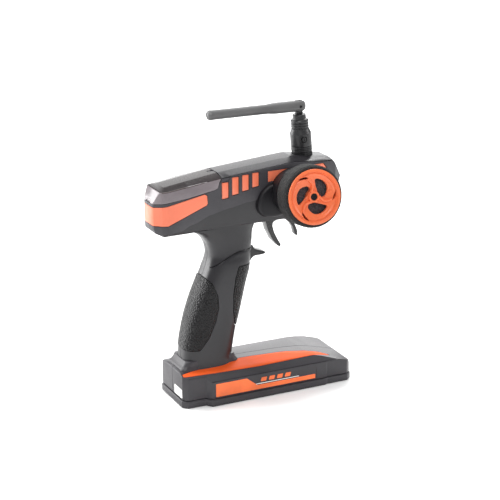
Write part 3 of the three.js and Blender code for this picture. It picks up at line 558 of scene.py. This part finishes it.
def grip_form(depth, low=27, high=171):
    """The grip and its neck, from the base up into the head; the palm swell stands proud of the neck."""
    rings = []
    for k in range(GRIP_RINGS + 1):
        z = low + (high - low) * k / GRIP_RINGS
        rear, front = between(GRIP_REAR, z), between(GRIP_FRONT, z)
        half_depth = (front - rear) / 2 - depth
        half_width = between(GRIP_HALF_WIDTH, z) - depth
        ring = []
        for i in range(GRIP_SIDES):
            c, s = polar(1, 360 * i / GRIP_SIDES)
            power = 2 / (FRONT_SQUARENESS if c > 0 else REAR_SQUARENESS)
            x = (front + rear) / 2 + half_depth * math.copysign(abs(c) ** power, c)
            y = half_width * math.copysign(abs(s) ** power, s)
            step = min(max((between(PALM_LINE, x) - z) / PALM_STEP, 0), 1)
            fade = min(max((z - PALM_FADE_FROM) / PALM_FADE_OVER, 0), 1)
            y -= math.copysign(PALM_PROUD * (1 - step) * fade * min(abs(y) / 8, 1), y)
            ring.append((x, y, z))
        rings.append(ring)
    return loft(rings)


BASE_SIDE = [(-76, 6.3), (76, 6.3), (76, 14), (74.5, 17.8), (50, 24.6), (39, 26.8), (18, 28.4), (-10, 29.2),
             (-74.5, 29.2), (-76, 27.7)]
BASE_SECTION = mirrored_first([(29.6, 0), (29, 21.2), (23, 26.2), (9, 29.4)])
BASE_PLAN = mirrored([(76, 25), (72, 28.6), (53, 28.6), (50.5, 29.6), (-53, 29.6), (-56.5, 24.6),
                      (-72.5, 24.2), (-76, 20.7)])


def base_form(depth):
    long = prism(rounded(inset(BASE_SECTION, depth), 1.2), "x", -80, 80)
    side = prism(rounded(inset(BASE_SIDE, depth), 1.0), "y", -FAR, FAR)
    plan = prism(rounded(inset(BASE_PLAN, depth), 0.9), "z", -1, 40)
    return common(long, side, plan)


# ---------------------------------------------------------------- zones that split the skin

COVER_ZONE = [(-110, 168.8), (-84, 172.2), (-67, 174.2), (-43.6, 178.5), (-41, 179.9), (-40.2, 184),
              (-37.9, 188), (-37.9, 210), (-110, 210)]
TOP_ZONE = [(-39.4, 184), (-37.6, 183.9), (-31.9, 184.9), (-30.3, 188.2), (28, 193.3), (58, 190.2), (90, 188),
            (90, 210), (-37.9, 210), (-37.9, 188)]
TRIM_ZONE = [(-110, 166.4), (-84, 169.6), (-53, 176), (-50.8, 174.8), (-50.3, 168.3), (-51.2, 167),
             (-83.5, 153.8), (-110, 153.6)]
REAR_PAD_ZONE = [(-90, 44), (-57, 44), (-49.2, 53.7), (-43.5, 66.7), (-41, 78.6), (-41.7, 89.4),
                 (-45.6, 99.3), (-51, 105.4), (-57.6, 111), (-90, 113)]
FRONT_PAD_ZONE = [(8, 111.5), (-22.5, 111.5), (-25.6, 102), (-27.4, 88.4), (-27, 73), (-24.8, 61),
                  (-20, 57), (8, 57)]
STRIPE_ZONE = [(-74.6, -17.6), (-52, -12.6), (-38, -9.6), (-23, -8.6), (24, -10.2), (52, -15), (60.5, -20.6),
               (44, -22.8), (-8, -23.6), (-48, -22.8), (-74.6, -21.2)]
ACCENT_ZONE = [(2.4, 179.6), (50, 184), (56, 185), (52.6, 189.4), (2.4, 188.4)]


BAR_HALF_WIDTH, BAR_PITCH = 2.8, 8.8


def bar_zone(i):
    """One of the upright bars on the head's side; they rise with the crease, and the first is shorter."""
    middle = -35 + BAR_PITCH * i
    rear, front = middle - BAR_HALF_WIDTH, middle + BAR_HALF_WIDTH
    bottom = 170.6 + 0.245 * (middle + 35)
    top = 183.6 if i == 0 else 187 + 0.09 * (middle + 26.2)
    return [(rear, bottom - 0.4), (front, bottom + 0.4), (front, top), (rear, top)]


WINDOWS = [bar_zone(i) for i in range(4)] + [ACCENT_ZONE]


def slab(zone, growth=0.0, radius=0.6):
    return prism(rounded(inset(zone, -growth), radius, 2), "y", -FAR, FAR)


def beyond(form, zone, growth=GAP, radius=0.6):
    """Everything in a zone that lies outside a form."""
    return cut(slab(zone, growth, radius), form)


# ---------------------------------------------------------------- head

head_outer = softened(head_form(0), 0.6)

head_shell = copy_of(head_outer)
cut(head_shell, head_form(WALL))
cut(head_shell, slab(COVER_ZONE, LOOSE, 0.4), slab(TOP_ZONE, LOOSE, 0.4), beyond(head_form(1.2), TRIM_ZONE))
cut(head_shell, *[slab(zone, GAP, 0.5) for zone in WINDOWS])
# The opening that the trigger swings in.
cut(head_shell, block((1.4, 34), (-5.7, 5.7), (143, 151)))
cut(head_shell, cut(block((-120, 120), (-SEAM, SEAM), (100, 240)), head_form(0.6)))
# The facet under the crease is smoother than the sides, and its faces that look down get the darker plastic
# as painted shade.
piece(head_shell, "head_shell", "case", [charcoal, charcoal_smooth_and_shade],
      replaces=("housing_left", "housing_right"),
      pick=lambda face: 1 if face.normal.z < -0.02 and abs(face.normal.y) > 0.5 else 0)

HINGE = Matrix.Translation((-41, 0, 187.95))
HINGE_BORE, KNUCKLE_RADIUS = 0.85, 1.5

top_cover = common(copy_of(head_outer), slab(TOP_ZONE, -0.3, 0.4))
cut(top_cover, head_form(WALL))
cut(top_cover, moved(rod(3.2, -12, 12, 32), ANTENNA))
lug = moved(rod(KNUCKLE_RADIUS, -2, 2, 24, "y"), HINGE)
joined(top_cover, lug, block((-41, -35.4), (-2, 2), (186.9, 189.2)))
cut(top_cover, moved(rod(HINGE_BORE, -10, 10, 24, "y"), HINGE))


def band_or_top(face):
    """0 on the sides, 1 on the band under the top edge, 2 on the flat top."""
    if face.normal.z > 0.85:
        return 2
    return 1 if face.normal.z > 0.1 and abs(face.normal.x) < 0.6 else 0


piece(top_cover, "top_cover_shell", "case", [charcoal, speckled, top_gloss],
      replaces=("top_cover",), pick=band_or_top)

cover = common(copy_of(head_outer), slab(COVER_ZONE, -0.3, 0.4))
cut(cover, head_form(COVER_WALL))
joined(cover, moved(rod(KNUCKLE_RADIUS, -7, 7, 24, "y"), HINGE))
cut(cover, block((-42.9, -35), (-2.3, 2.3), (185, 195)), block((-38.5, -30), (-30, 30), (185, 195)))
cut(cover, moved(rod(HINGE_BORE, -6.6, 6.6, 24, "y"), HINGE))
# The finger notch at the rear, with three ribs above it.
cut(cover, block((-99, -93.3), (-4.2, 4.2), (170.4, 172.6)))
cut(cover, *[block((-99, -92.9 - 0.25 * k), (-3.4, 3.4), (173.6 + 1.7 * k, 174.3 + 1.7 * k))
             for k in range(3)])
piece(cover, "flip_cover_shell", "flip_cover", [smoked, smoked_band, smoked_top],
      replaces=("flip_cover",), pick=band_or_top)

trim = cut(copy_of(head_outer), head_form(0.9))
common(trim, slab(TRIM_ZONE, FLUSH, 0.6))
piece(trim, "rear_trim_band", "case", [orange], replaces=("rear_trim",))

for name, sign in (("left", 1), ("right", -1)):
    bars = cut(head_form(0.35), head_form(1.9))
    zones = slab(WINDOWS[0], FLUSH, 0.4)
    joined(zones, *[slab(zone, FLUSH, 0.4) for zone in WINDOWS[1:]])
    keep = block((-60, 80), (8, FAR) if sign > 0 else (-FAR, -8), (100, 240))
    common(bars, zones, keep)
    softened(bars, 0.22, 2)
    piece(bars, "side_bars_" + name, "case", [orange], replaces=("side_inlay_" + name,))

# ---------------------------------------------------------------- grip

grip = grip_form(0)
cut(grip, cut(slab(REAR_PAD_ZONE, 0.4, 2), grip_form(1.2)))
cut(grip, cut(slab(FRONT_PAD_ZONE, 0.4, 2), grip_form(1.2)))
cut(grip, cut(block((-120, 120), (-0.22, 0.22), (0, 150)), grip_form(0.5)))
palm = through(PALM_LINE, 4, closed=False)
cut(grip, beyond(grip_form(0.8), palm + [(x, z - 0.7) for x, z in reversed(palm)], 0, 0.1))
# A seam across the grip's spine, under the head.
cut(grip, cut(block((-80, -47), (-30, 30), (125.6, 126.1)), grip_form(0.5)))
# The head's inside stays free for the controls.
cut(grip, head_form(1.5))
piece(grip, "grip_shell", "case", [charcoal_smooth_and_shade])

for name, zone, proud in (("rear", REAR_PAD_ZONE, 0.5), ("front", FRONT_PAD_ZONE, 0.2)):
    pad = cut(grip_form(-proud), grip_form(0.9))
    common(pad, slab(zone, -0.1, 2))
    softened(pad, 0.35, 2)
    piece(pad, "pad_" + name, "case", [pad_rubber], replaces=("grip_pad_" + name,))

SPUR = [(-14, 108), (-8, 110.6), (-5.6, 113), (-3.1, 114.6), (1.5, 114.8), (5.4, 115.2), (6.6, 116.2),
        (6, 117.3), (2.9, 118.4), (-1.1, 119.9), (-3.8, 121.6), (-5.6, 124.4), (-14, 126)]
spur = softened(prism(through(SPUR, 4), "y", -5.4, 5.4), 1.2, 4)
piece(spur, "grip_spur", "case", [charcoal_smooth_and_shade])

foot_rings = []
for z, rear, front, half in ((27.5, -74, -20.4, 16.4), (29.4, -73.4, -20.8, 16), (30.6, -72.2, -21.8, 15.4),
                             (32.4, -70.6, -23, 15), (35.6, -69, -23.8, 14.9)):
    outline = rounded([(rear, -half), (front, -half * 0.72), (front, half * 0.72), (rear, half)], 5, 5)
    foot_rings.append([(x, y, z) for x, y in outline])
foot = softened(loft(foot_rings), 0.5)
piece(foot, "grip_foot", "case", [base_plastic])

# ---------------------------------------------------------------- base

base_outer = softened(base_form(0), 0.5)
base = copy_of(base_outer)
cut(base, cut(prism(rounded(inset(STRIPE_ZONE, -GAP), 1.2), "z", 20, 40), base_form(0.9)))
# A recessed label field on each side.
for span in ((29.0, 40), (-40, -29.0)):
    cut(base, prism(rounded([(-52.5, 7.4), (42.5, 7.4), (42.5, 20), (-52.5, 20.6)], 1.2), "y", *span))
cut(base, cut(block((-120, 120), (-SEAM, SEAM), (0, 60)), base_form(0.7)))
# A seam along each shoulder.
for sign in (1, -1):
    ledge = sorted((sign * 26.5, sign * 40))
    cut(base, cut(block((-53, 70), ledge, (20.6, 21.1)), base_form(0.6)))
# The battery bay, and the charge socket's hole.
cut(base, block((-53, 50.5), (-28.2, 28.2), (0, 19)))
cut(base, moved(rod(4.5, 10, 40, 40, "y"), Matrix.Translation((-65, 0, 15.5))))
piece(base, "base_shell", "case", [base_plastic])

stripe = cut(copy_of(base_outer), base_form(0.6))
common(stripe, prism(rounded(inset(STRIPE_ZONE, FLUSH), 1.2), "z", 20, 40))
softened(stripe, 0.18, 2)
piece(stripe, "stripe", "case", [orange_matt], replaces=("base_stripe",))

tray = prism(rounded(inset(BASE_PLAN, -0.8), 1.4), "z", 0.0, 6)
softened(tray, 0.9, 3)
cut(tray, block((-73.5, -56), (-20, 20), (2, 10)), block((54, 72), (-22, 22), (2, 10)))
cut(tray, block((-51.5, 49), (-28.1, 28.1), (-1, 30)))
joined(tray, block((-53, -51.5), (-27, 27), (2, 19)), block((49, 50.5), (-27, 27), (2, 19)))
joined(tray, block((-53, 50.5), (-27, 27), (17.2, 18.8)))
piece(tray, "base_lip", "case", [base_plastic], replaces=("base_tray",))

door = prism(rounded([(-51.1, -27.6), (48.6, -27.6), (48.6, 27.6), (-51.1, 27.6)], 0.8), "z", 0, 1.9)
softened(door, 0.25, 2)
cut(door, block((38, 44), (-7, 7), (-1, 0.7)))
cut(door, *[block((x, x + 0.8), (-6, 6), (0.5, 1.1)) for x in (40, 42)])
cut(door, *[block((-40, 30), (y - 0.4, y + 0.4), (-1, 0.4)) for y in (-21, -14, -7, 7, 14, 21)])
piece(door, "door_plate", "battery_door", [base_plastic], replaces=("battery_door",))

# The label on the right side is a blank graphic: a wedge that runs out into a band, four bars and a line.
LABEL_FACE = -29.0


def label(name, outline, made, thickness):
    flat = prism(rounded(outline, 0.5, 2), "y", LABEL_FACE - thickness, LABEL_FACE + 0.3)
    piece(flat, name, "case", [made])


BAND = [(-49.8, 7.6), (41.4, 7.6), (41.4, 11.4), (-12.5, 11.4), (-22, 18.9), (-49.8, 18.9)]
LINE = [(-16, 12.1), (26, 12.1), (26, 12.7), (-16.7, 12.7)]
label("label_band", BAND, label_orange, 0.16)
label("label_line", LINE, label_paper, 0.14)
for k in range(4):
    left = -9.5 + 7.4 * k
    slanted = [(left, 14), (left + 5, 14), (left + 5.9, 17.4), (left + 0.9, 17.4)]
    label("label_bar_%d" % (k + 1), slanted, label_orange, 0.14)
sticker = prism(rounded([(-20.2, 7.8), (-4.6, 7.8), (-4.6, 15.2), (-20.2, 15.2)], 0.8), "x", -76.15, -75.6)
piece(sticker, "rear_sticker", "case", [label_paper])

# ---------------------------------------------------------------- steering wheel

RIM = 21.9
TURNS = (0, 120, 240)
# Outlines of one window, one slot and one vane, each point a share of the rim's radius and an angle.
WINDOW = [(0.25, -3), (0.36, -6), (0.46, 1), (0.55, 17), (0.625, 31), (0.66, 47), (0.667, 61), (0.66, 75),
          (0.615, 83), (0.5, 80), (0.39, 74), (0.305, 62), (0.225, 42), (0.225, 18)]
SLOT = [(0.87, 15), (0.865, 6), (0.83, -3), (0.78, -10), (0.69, -16), (0.71, -8), (0.755, 0), (0.81, 8)]
VANE = [(0.2, -2), (0.28, -18), (0.42, -25), (0.56, -19), (0.68, -11), (0.8, -1), (0.85, 12), (0.855, 30)]
# A vane's section: across as a share of its half width, and up from its crest.
VANE_SECTION = [(-1, -2.6), (-1, -0.9), (-0.75, -0.25), (0, 0), (0.75, -0.25), (1, -0.9), (1, -2.6)]


def around(outline, angle):
    return [polar(RIM * share, angle + turn) for share, turn in outline]


def vane(angle):
    """A tapering raised rib that swirls from the hub out to the ring."""
    path = through(around(VANE, angle), 6, closed=False)
    rings = []
    for k, point in enumerate(path):
        ahead = Vector(path[min(k + 1, len(path) - 1)]) - Vector(path[max(k - 1, 0)])
        side = Vector((-ahead.y, ahead.x)).normalized()
        t = k / (len(path) - 1)
        wide = 1.15 - 0.6 * t
        high = -1.35 + 0.45 * math.sin(math.pi * t)
        ring = []
        for across, up in VANE_SECTION:
            ring.append((point[0] + side.x * across * wide, point[1] + side.y * across * wide, high + up))
        rings.append(ring)
    return loft(rings)


barrel = turned(rounded([(17, -17.5), (18.9, -17.5), (18.9, -1.7), (21.9, -1.7), (21.9, -0.1), (20.1, 0.1),
                         (19.4, -1.3), (18.6, -1.3), (18.1, -0.7), (16.6, -1.5)], 0.35, 2), 96)
disc = turned([(0, -5.4), (17.6, -4.6), (17.6, -1.4), (15.4, -1.7), (12, -2.5), (8, -3.1), (0, -3.2)], 96)
cut(disc, *[prism(through(around(WINDOW, a), 5), "z", -10, 2) for a in TURNS])
softened(disc, 0.5, 3)
HUB = [(4.5, -14), (4.5, -1.9), (4.1, -1.2), (3.2, -1.2), (2.9, -1.6), (2.9, -5.5)]
hub = turned([(0, -14)] + rounded(HUB, 0.3, 3)[2:] + [(0, -5.5)], 64)
rim = joined(barrel, disc, *[vane(a) for a in TURNS], hub)
cut(rim, *[prism(rounded(around(SLOT, a), 0.4, 2), "z", -10, 2) for a in TURNS])
cut(rim, rod(2.9, -5.5, 2, 48), rod(1.8, -20, 2, 32), rod(3.3, -20, -6, 48))
piece(moved(rim, WHEEL), "rim", "steering_wheel", [orange_rim], replaces=("wheel_rim",),
      sharp=34)

tyre = turned(rounded([(19.2, -2), (19.2, -19.8), (22.9, -19.8), (24.7, -18), (24.7, -4.2), (23.6, -2.4),
                       (22.3, -1.9)], 1.1, 4), 144)
for vertex in tyre.data.vertices:
    flat = Vector((vertex.co.x, vertex.co.y, 0))
    if flat.length > 20:
        lump = noise.noise(vertex.co * 0.9) + 0.6 * noise.noise(vertex.co * 2.3)
        vertex.co += flat.normalized() * (0.12 * lump - 0.08)
piece(moved(tyre, WHEEL), "tyre", "steering_wheel", [foam], replaces=("wheel_tyre",), sharp=40)

# A foam disc that shows through the rim's windows.
backing = turned(rounded([(5.7, -8), (16.9, -8), (16.9, -6.4), (5.7, -6.6)], 0.3, 2), 96)
piece(moved(backing, WHEEL), "wheel_backing", "steering_wheel", [backing_foam])

boss = turned([(0, -54)] + rounded([(19, -54), (19, -24), (17, -21.4)], 1.2, 4)[1:] + [(0, -21.4)], 128)
cut(boss, turned([(0, -60), (17, -60), (17, -26), (0, -23.8)], 96))
# A bearing for the axle in its floor, and a groove round its side.
joined(boss, rod(5.4, -30, -23, 48))
cut(boss, rod(3.3, -60, -10, 48))
cut(boss, turned([(18.4, -33), (21, -33), (21, -32.2), (18.4, -32.2)], 128))
moved(boss, WHEEL)
# The fairing that fills the corner between the grip and the boss.
FAIRING = [(0, 151.4), (-4.6, 153.4), (-7.2, 158), (-7.6, 164), (-6, 169.6), (-2, 174.6), (5, 178), (18, 178),
           (20, 156), (12, 151)]
fairing = softened(prism(through(FAIRING, 5), "y", -21.5, -15), 2.6, 6)
cut(fairing, moved(rod(17, -60, -20, 96), WHEEL))
joined(boss, fairing)
cut(boss, head_form(-0.05), grip_form(-0.05))
piece(boss, "wheel_boss_shell", "case", [boss_black], replaces=("wheel_boss",))

# ---------------------------------------------------------------- trigger

BLADE = [(8.2, 151), (6.9, 142.7), (9.4, 134), (13.7, 125.4), (18.2, 120.1), (20.4, 119.2), (20.9, 121.2),
         (18.5, 125), (14.9, 132), (13.2, 138), (13.6, 141.2), (17.5, 142.6), (19.5, 145), (18.8, 151)]
HOOK = [(16, 142.2), (21.5, 143.1), (26.6, 141), (30.4, 137.6), (33.2, 133.2), (34.8, 127.4), (36, 126),
        (37.4, 126.8), (36.8, 131), (35, 135.4), (32, 139.4), (27.6, 143.4), (22, 145.6), (16, 146)]
blade = softened(prism(rounded(BLADE, 3, 4), "y", -5, 5), 0.8, 3)
hook = softened(prism(rounded(HOOK, 3, 4), "y", -3, 3), 0.6, 3)
pivot = Matrix.Translation((13.5, 0, 153))
trigger_hub = softened(moved(rod(5.6, -5, 5, 64, "y"), pivot), 0.4, 2)
trigger = joined(blade, hook, trigger_hub)
cut(trigger, moved(rod(2.3, -20, 20, 32, "y"), pivot))
piece(trigger, "trigger_lever", "trigger", [gloss_black], replaces=("trigger",))

# ---------------------------------------------------------------- antenna

knurl = prism([polar(8.5 if i % 4 < 2 else 7.9, i * 360 / 160 + (0.6 if i % 2 else 0)) for i in range(160)],
              "z", -2, 2.2)
joined(knurl, turned(rounded([(4, 2), (7.8, 2), (7.8, 2.7), (4, 2.7)], 0.2, 2), 96))
cut(knurl, rod(3.2, -10, 10, 32))
moved(knurl, ANTENNA)
cut(knurl, head_form(-0.05))
piece(knurl, "antenna_collar", "case", [antenna_black], replaces=("antenna_base",))

SHOULDER = PIVOT_HEIGHT - 6.6
BARREL = [(8.3, 3.1), (8.7, 3.5)]
for height in (4.2, 5.6, 7.0):
    BARREL += [(8.7, height), (8.15, height + 0.25), (8.15, height + 0.65), (8.7, height + 0.9)]
BARREL += [(8.75, 9.2), (8.75, 18), (7.3, 21.4)]
for height in (22.2, 24.3, 26.4):
    BARREL += [(7.3, height), (6.75, height + 0.25), (6.75, height + 0.75), (7.3, height + 1)]
BARREL += [(7.3, 28.6), (6.6, 29.5), (5.5, 29.8), (5.5, SHOULDER - 0.6), (4.7, SHOULDER)]
knuckle = turned([(0, 3.1)] + rounded(BARREL, 0.25, 2) + [(0, SHOULDER)], 96)
tab = softened(joined(block((-3, 3), (-1.3, 1.3), (SHOULDER - 1, PIVOT_HEIGHT)),
                      moved(rod(3, -1.3, 1.3, 48, "y"), Matrix.Translation((0, 0, PIVOT_HEIGHT)))), 0.2, 2)
joined(knuckle, tab)
cut(knuckle, moved(rod(1.35, -5, 5, 32, "y"), Matrix.Translation((0, 0, PIVOT_HEIGHT))))
# A small screw head set into the side of the knuckle.
screw_at = Matrix.Rotation(math.radians(-8), 4, "Z") @ Matrix.Translation((0, -8.2, 14))
ring_cut = cut(moved(rod(2.6, -2, 2, 48, "y"), screw_at), moved(rod(1.9, -4, 4, 48, "y"), screw_at))
cut(knuckle, ring_cut, moved(block((-0.35, 0.35), (-3, 0.2), (-1.3, 1.3)), screw_at))
piece(moved(knuckle, ANTENNA), "antenna_joint", "antenna_swivel", [antenna_black],
      replaces=("antenna_knuckle",))

TIP = 81
ARM_SHAPE = [(3, -5.4), (4.2, -4.4), (4.7, -2.8), (4.7, 20), (4.55, 23.4), (4.0, 28), (3.95, 50),
             (4.0, TIP - 6), (4.15, TIP - 2.6), (3.4, TIP - 0.8), (1.8, TIP)]
arm = turned([(0, -5.4)] + rounded(ARM_SHAPE, 0.8, 3) + [(0, TIP)], 64)
cut(arm, block((-6, 6), (-1.6, 1.6), (-7, 3.5)), rod(1.25, -6, 6, 32, "y"))
piece(moved(arm, ARM), "antenna_rod", "antenna_arm", [arm_black], replaces=("antenna_arm",))

# ---------------------------------------------------------------- CAD nodes that stay

KEPT = {
    component: ["control_panel", "charge_jack", "steering_pot", "throttle_pot", "antenna_lead"],
    dark_control: ["steering_trim_knob", "throttle_trim_knob", "dual_rate_knob", "steering_reverse_switch",
                   "throttle_reverse_switch", "power_switch", "bind_button"],
    boss_black: ["wheel_screw", "antenna_pin"],
    steel: ["cover_hinge_pin", "wheel_axle", "steering_spring", "trigger_shaft", "trigger_spring"]
           + ["case_screw_%d" % i for i in range(1, 6)],
    nickel: ["contact_rear_right", "contact_rear_bridge", "contact_rear_left", "contact_front_right",
             "contact_front_left"],
    cell_wrap: ["battery_cell_%d" % i for i in range(1, 9)],
    board: ["main_board", "radio_module"],
    lens: ["light_pipe"],
}
for made, names in KEPT.items():
    for name in names:
        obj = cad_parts[name]
        obj.data.materials.clear()
        obj.data.materials.append(made)
        obj.data.shade_smooth()
        obj.data.set_sharp_from_angle(angle=math.radians(30))

drop(head_outer)
drop(base_outer)

# ---------------------------------------------------------------- floor, lights and background

floor_mesh = bpy.data.meshes.new("floor")
floor_mesh.from_pydata([(-4, -4, 0), (4, -4, 0), (4, 4, 0), (-4, 4, 0)], [], [(0, 1, 2, 3)])
floor = bpy.data.objects.new("floor", floor_mesh)
floor.location.z = -0.0002
scene.collection.objects.link(floor)
floor_made = material("floor_paper", (0.93, 0.93, 0.93), 0.9)
floor_grain = noise_of(floor_made, 0.4, 2)
varied(floor_made, floor_grain.outputs["Fac"], (0.92, 0.92, 0.92), (0.94, 0.94, 0.94))
floor_mesh.materials.append(floor_made)

world = bpy.data.worlds.new("studio")
scene.world = world
world.use_nodes = True
world.node_tree.nodes["Background"].inputs["Color"].default_value = (1, 1, 1, 1)
world.node_tree.nodes["Background"].inputs["Strength"].default_value = 0.42

# Soft lamps; the ones named for the floor light the paper that the rear faces mirror.
for name, place, target, size, power in (
    ("key", (-0.7, -1.0, 1.5), (0, 0, 0.12), 0.7, 12),
    ("backdrop", (0.75, 1.7, 0.7), (0, 0, 0.1), 1.4, 15),
    ("rear_left", (-1.0, 1.1, 0.4), (0, 0, 0.12), 0.8, 14),
    ("right", (1.3, -0.5, 0.6), (0, 0, 0.1), 0.6, 5),
    ("floor_left", (-0.9, 0.9, 1.5), (-0.6, 1.3, 0), 1.0, 34),
    ("floor_right", (1.2, 1.5, 1.5), (0.9, 1.9, 0), 1.0, 34),
    ("top", (0.1, 0.1, 1.7), (0, 0, 0), 1.2, 13),
):
    lamp = bpy.data.lights.new(name, "AREA")
    lamp.shape = "SQUARE"
    lamp.size = size
    lamp.energy = power
    obj = bpy.data.objects.new(name, lamp)
    scene.collection.objects.link(obj)
    aim(obj, place, target)
scene.view_settings.view_transform = "Standard"
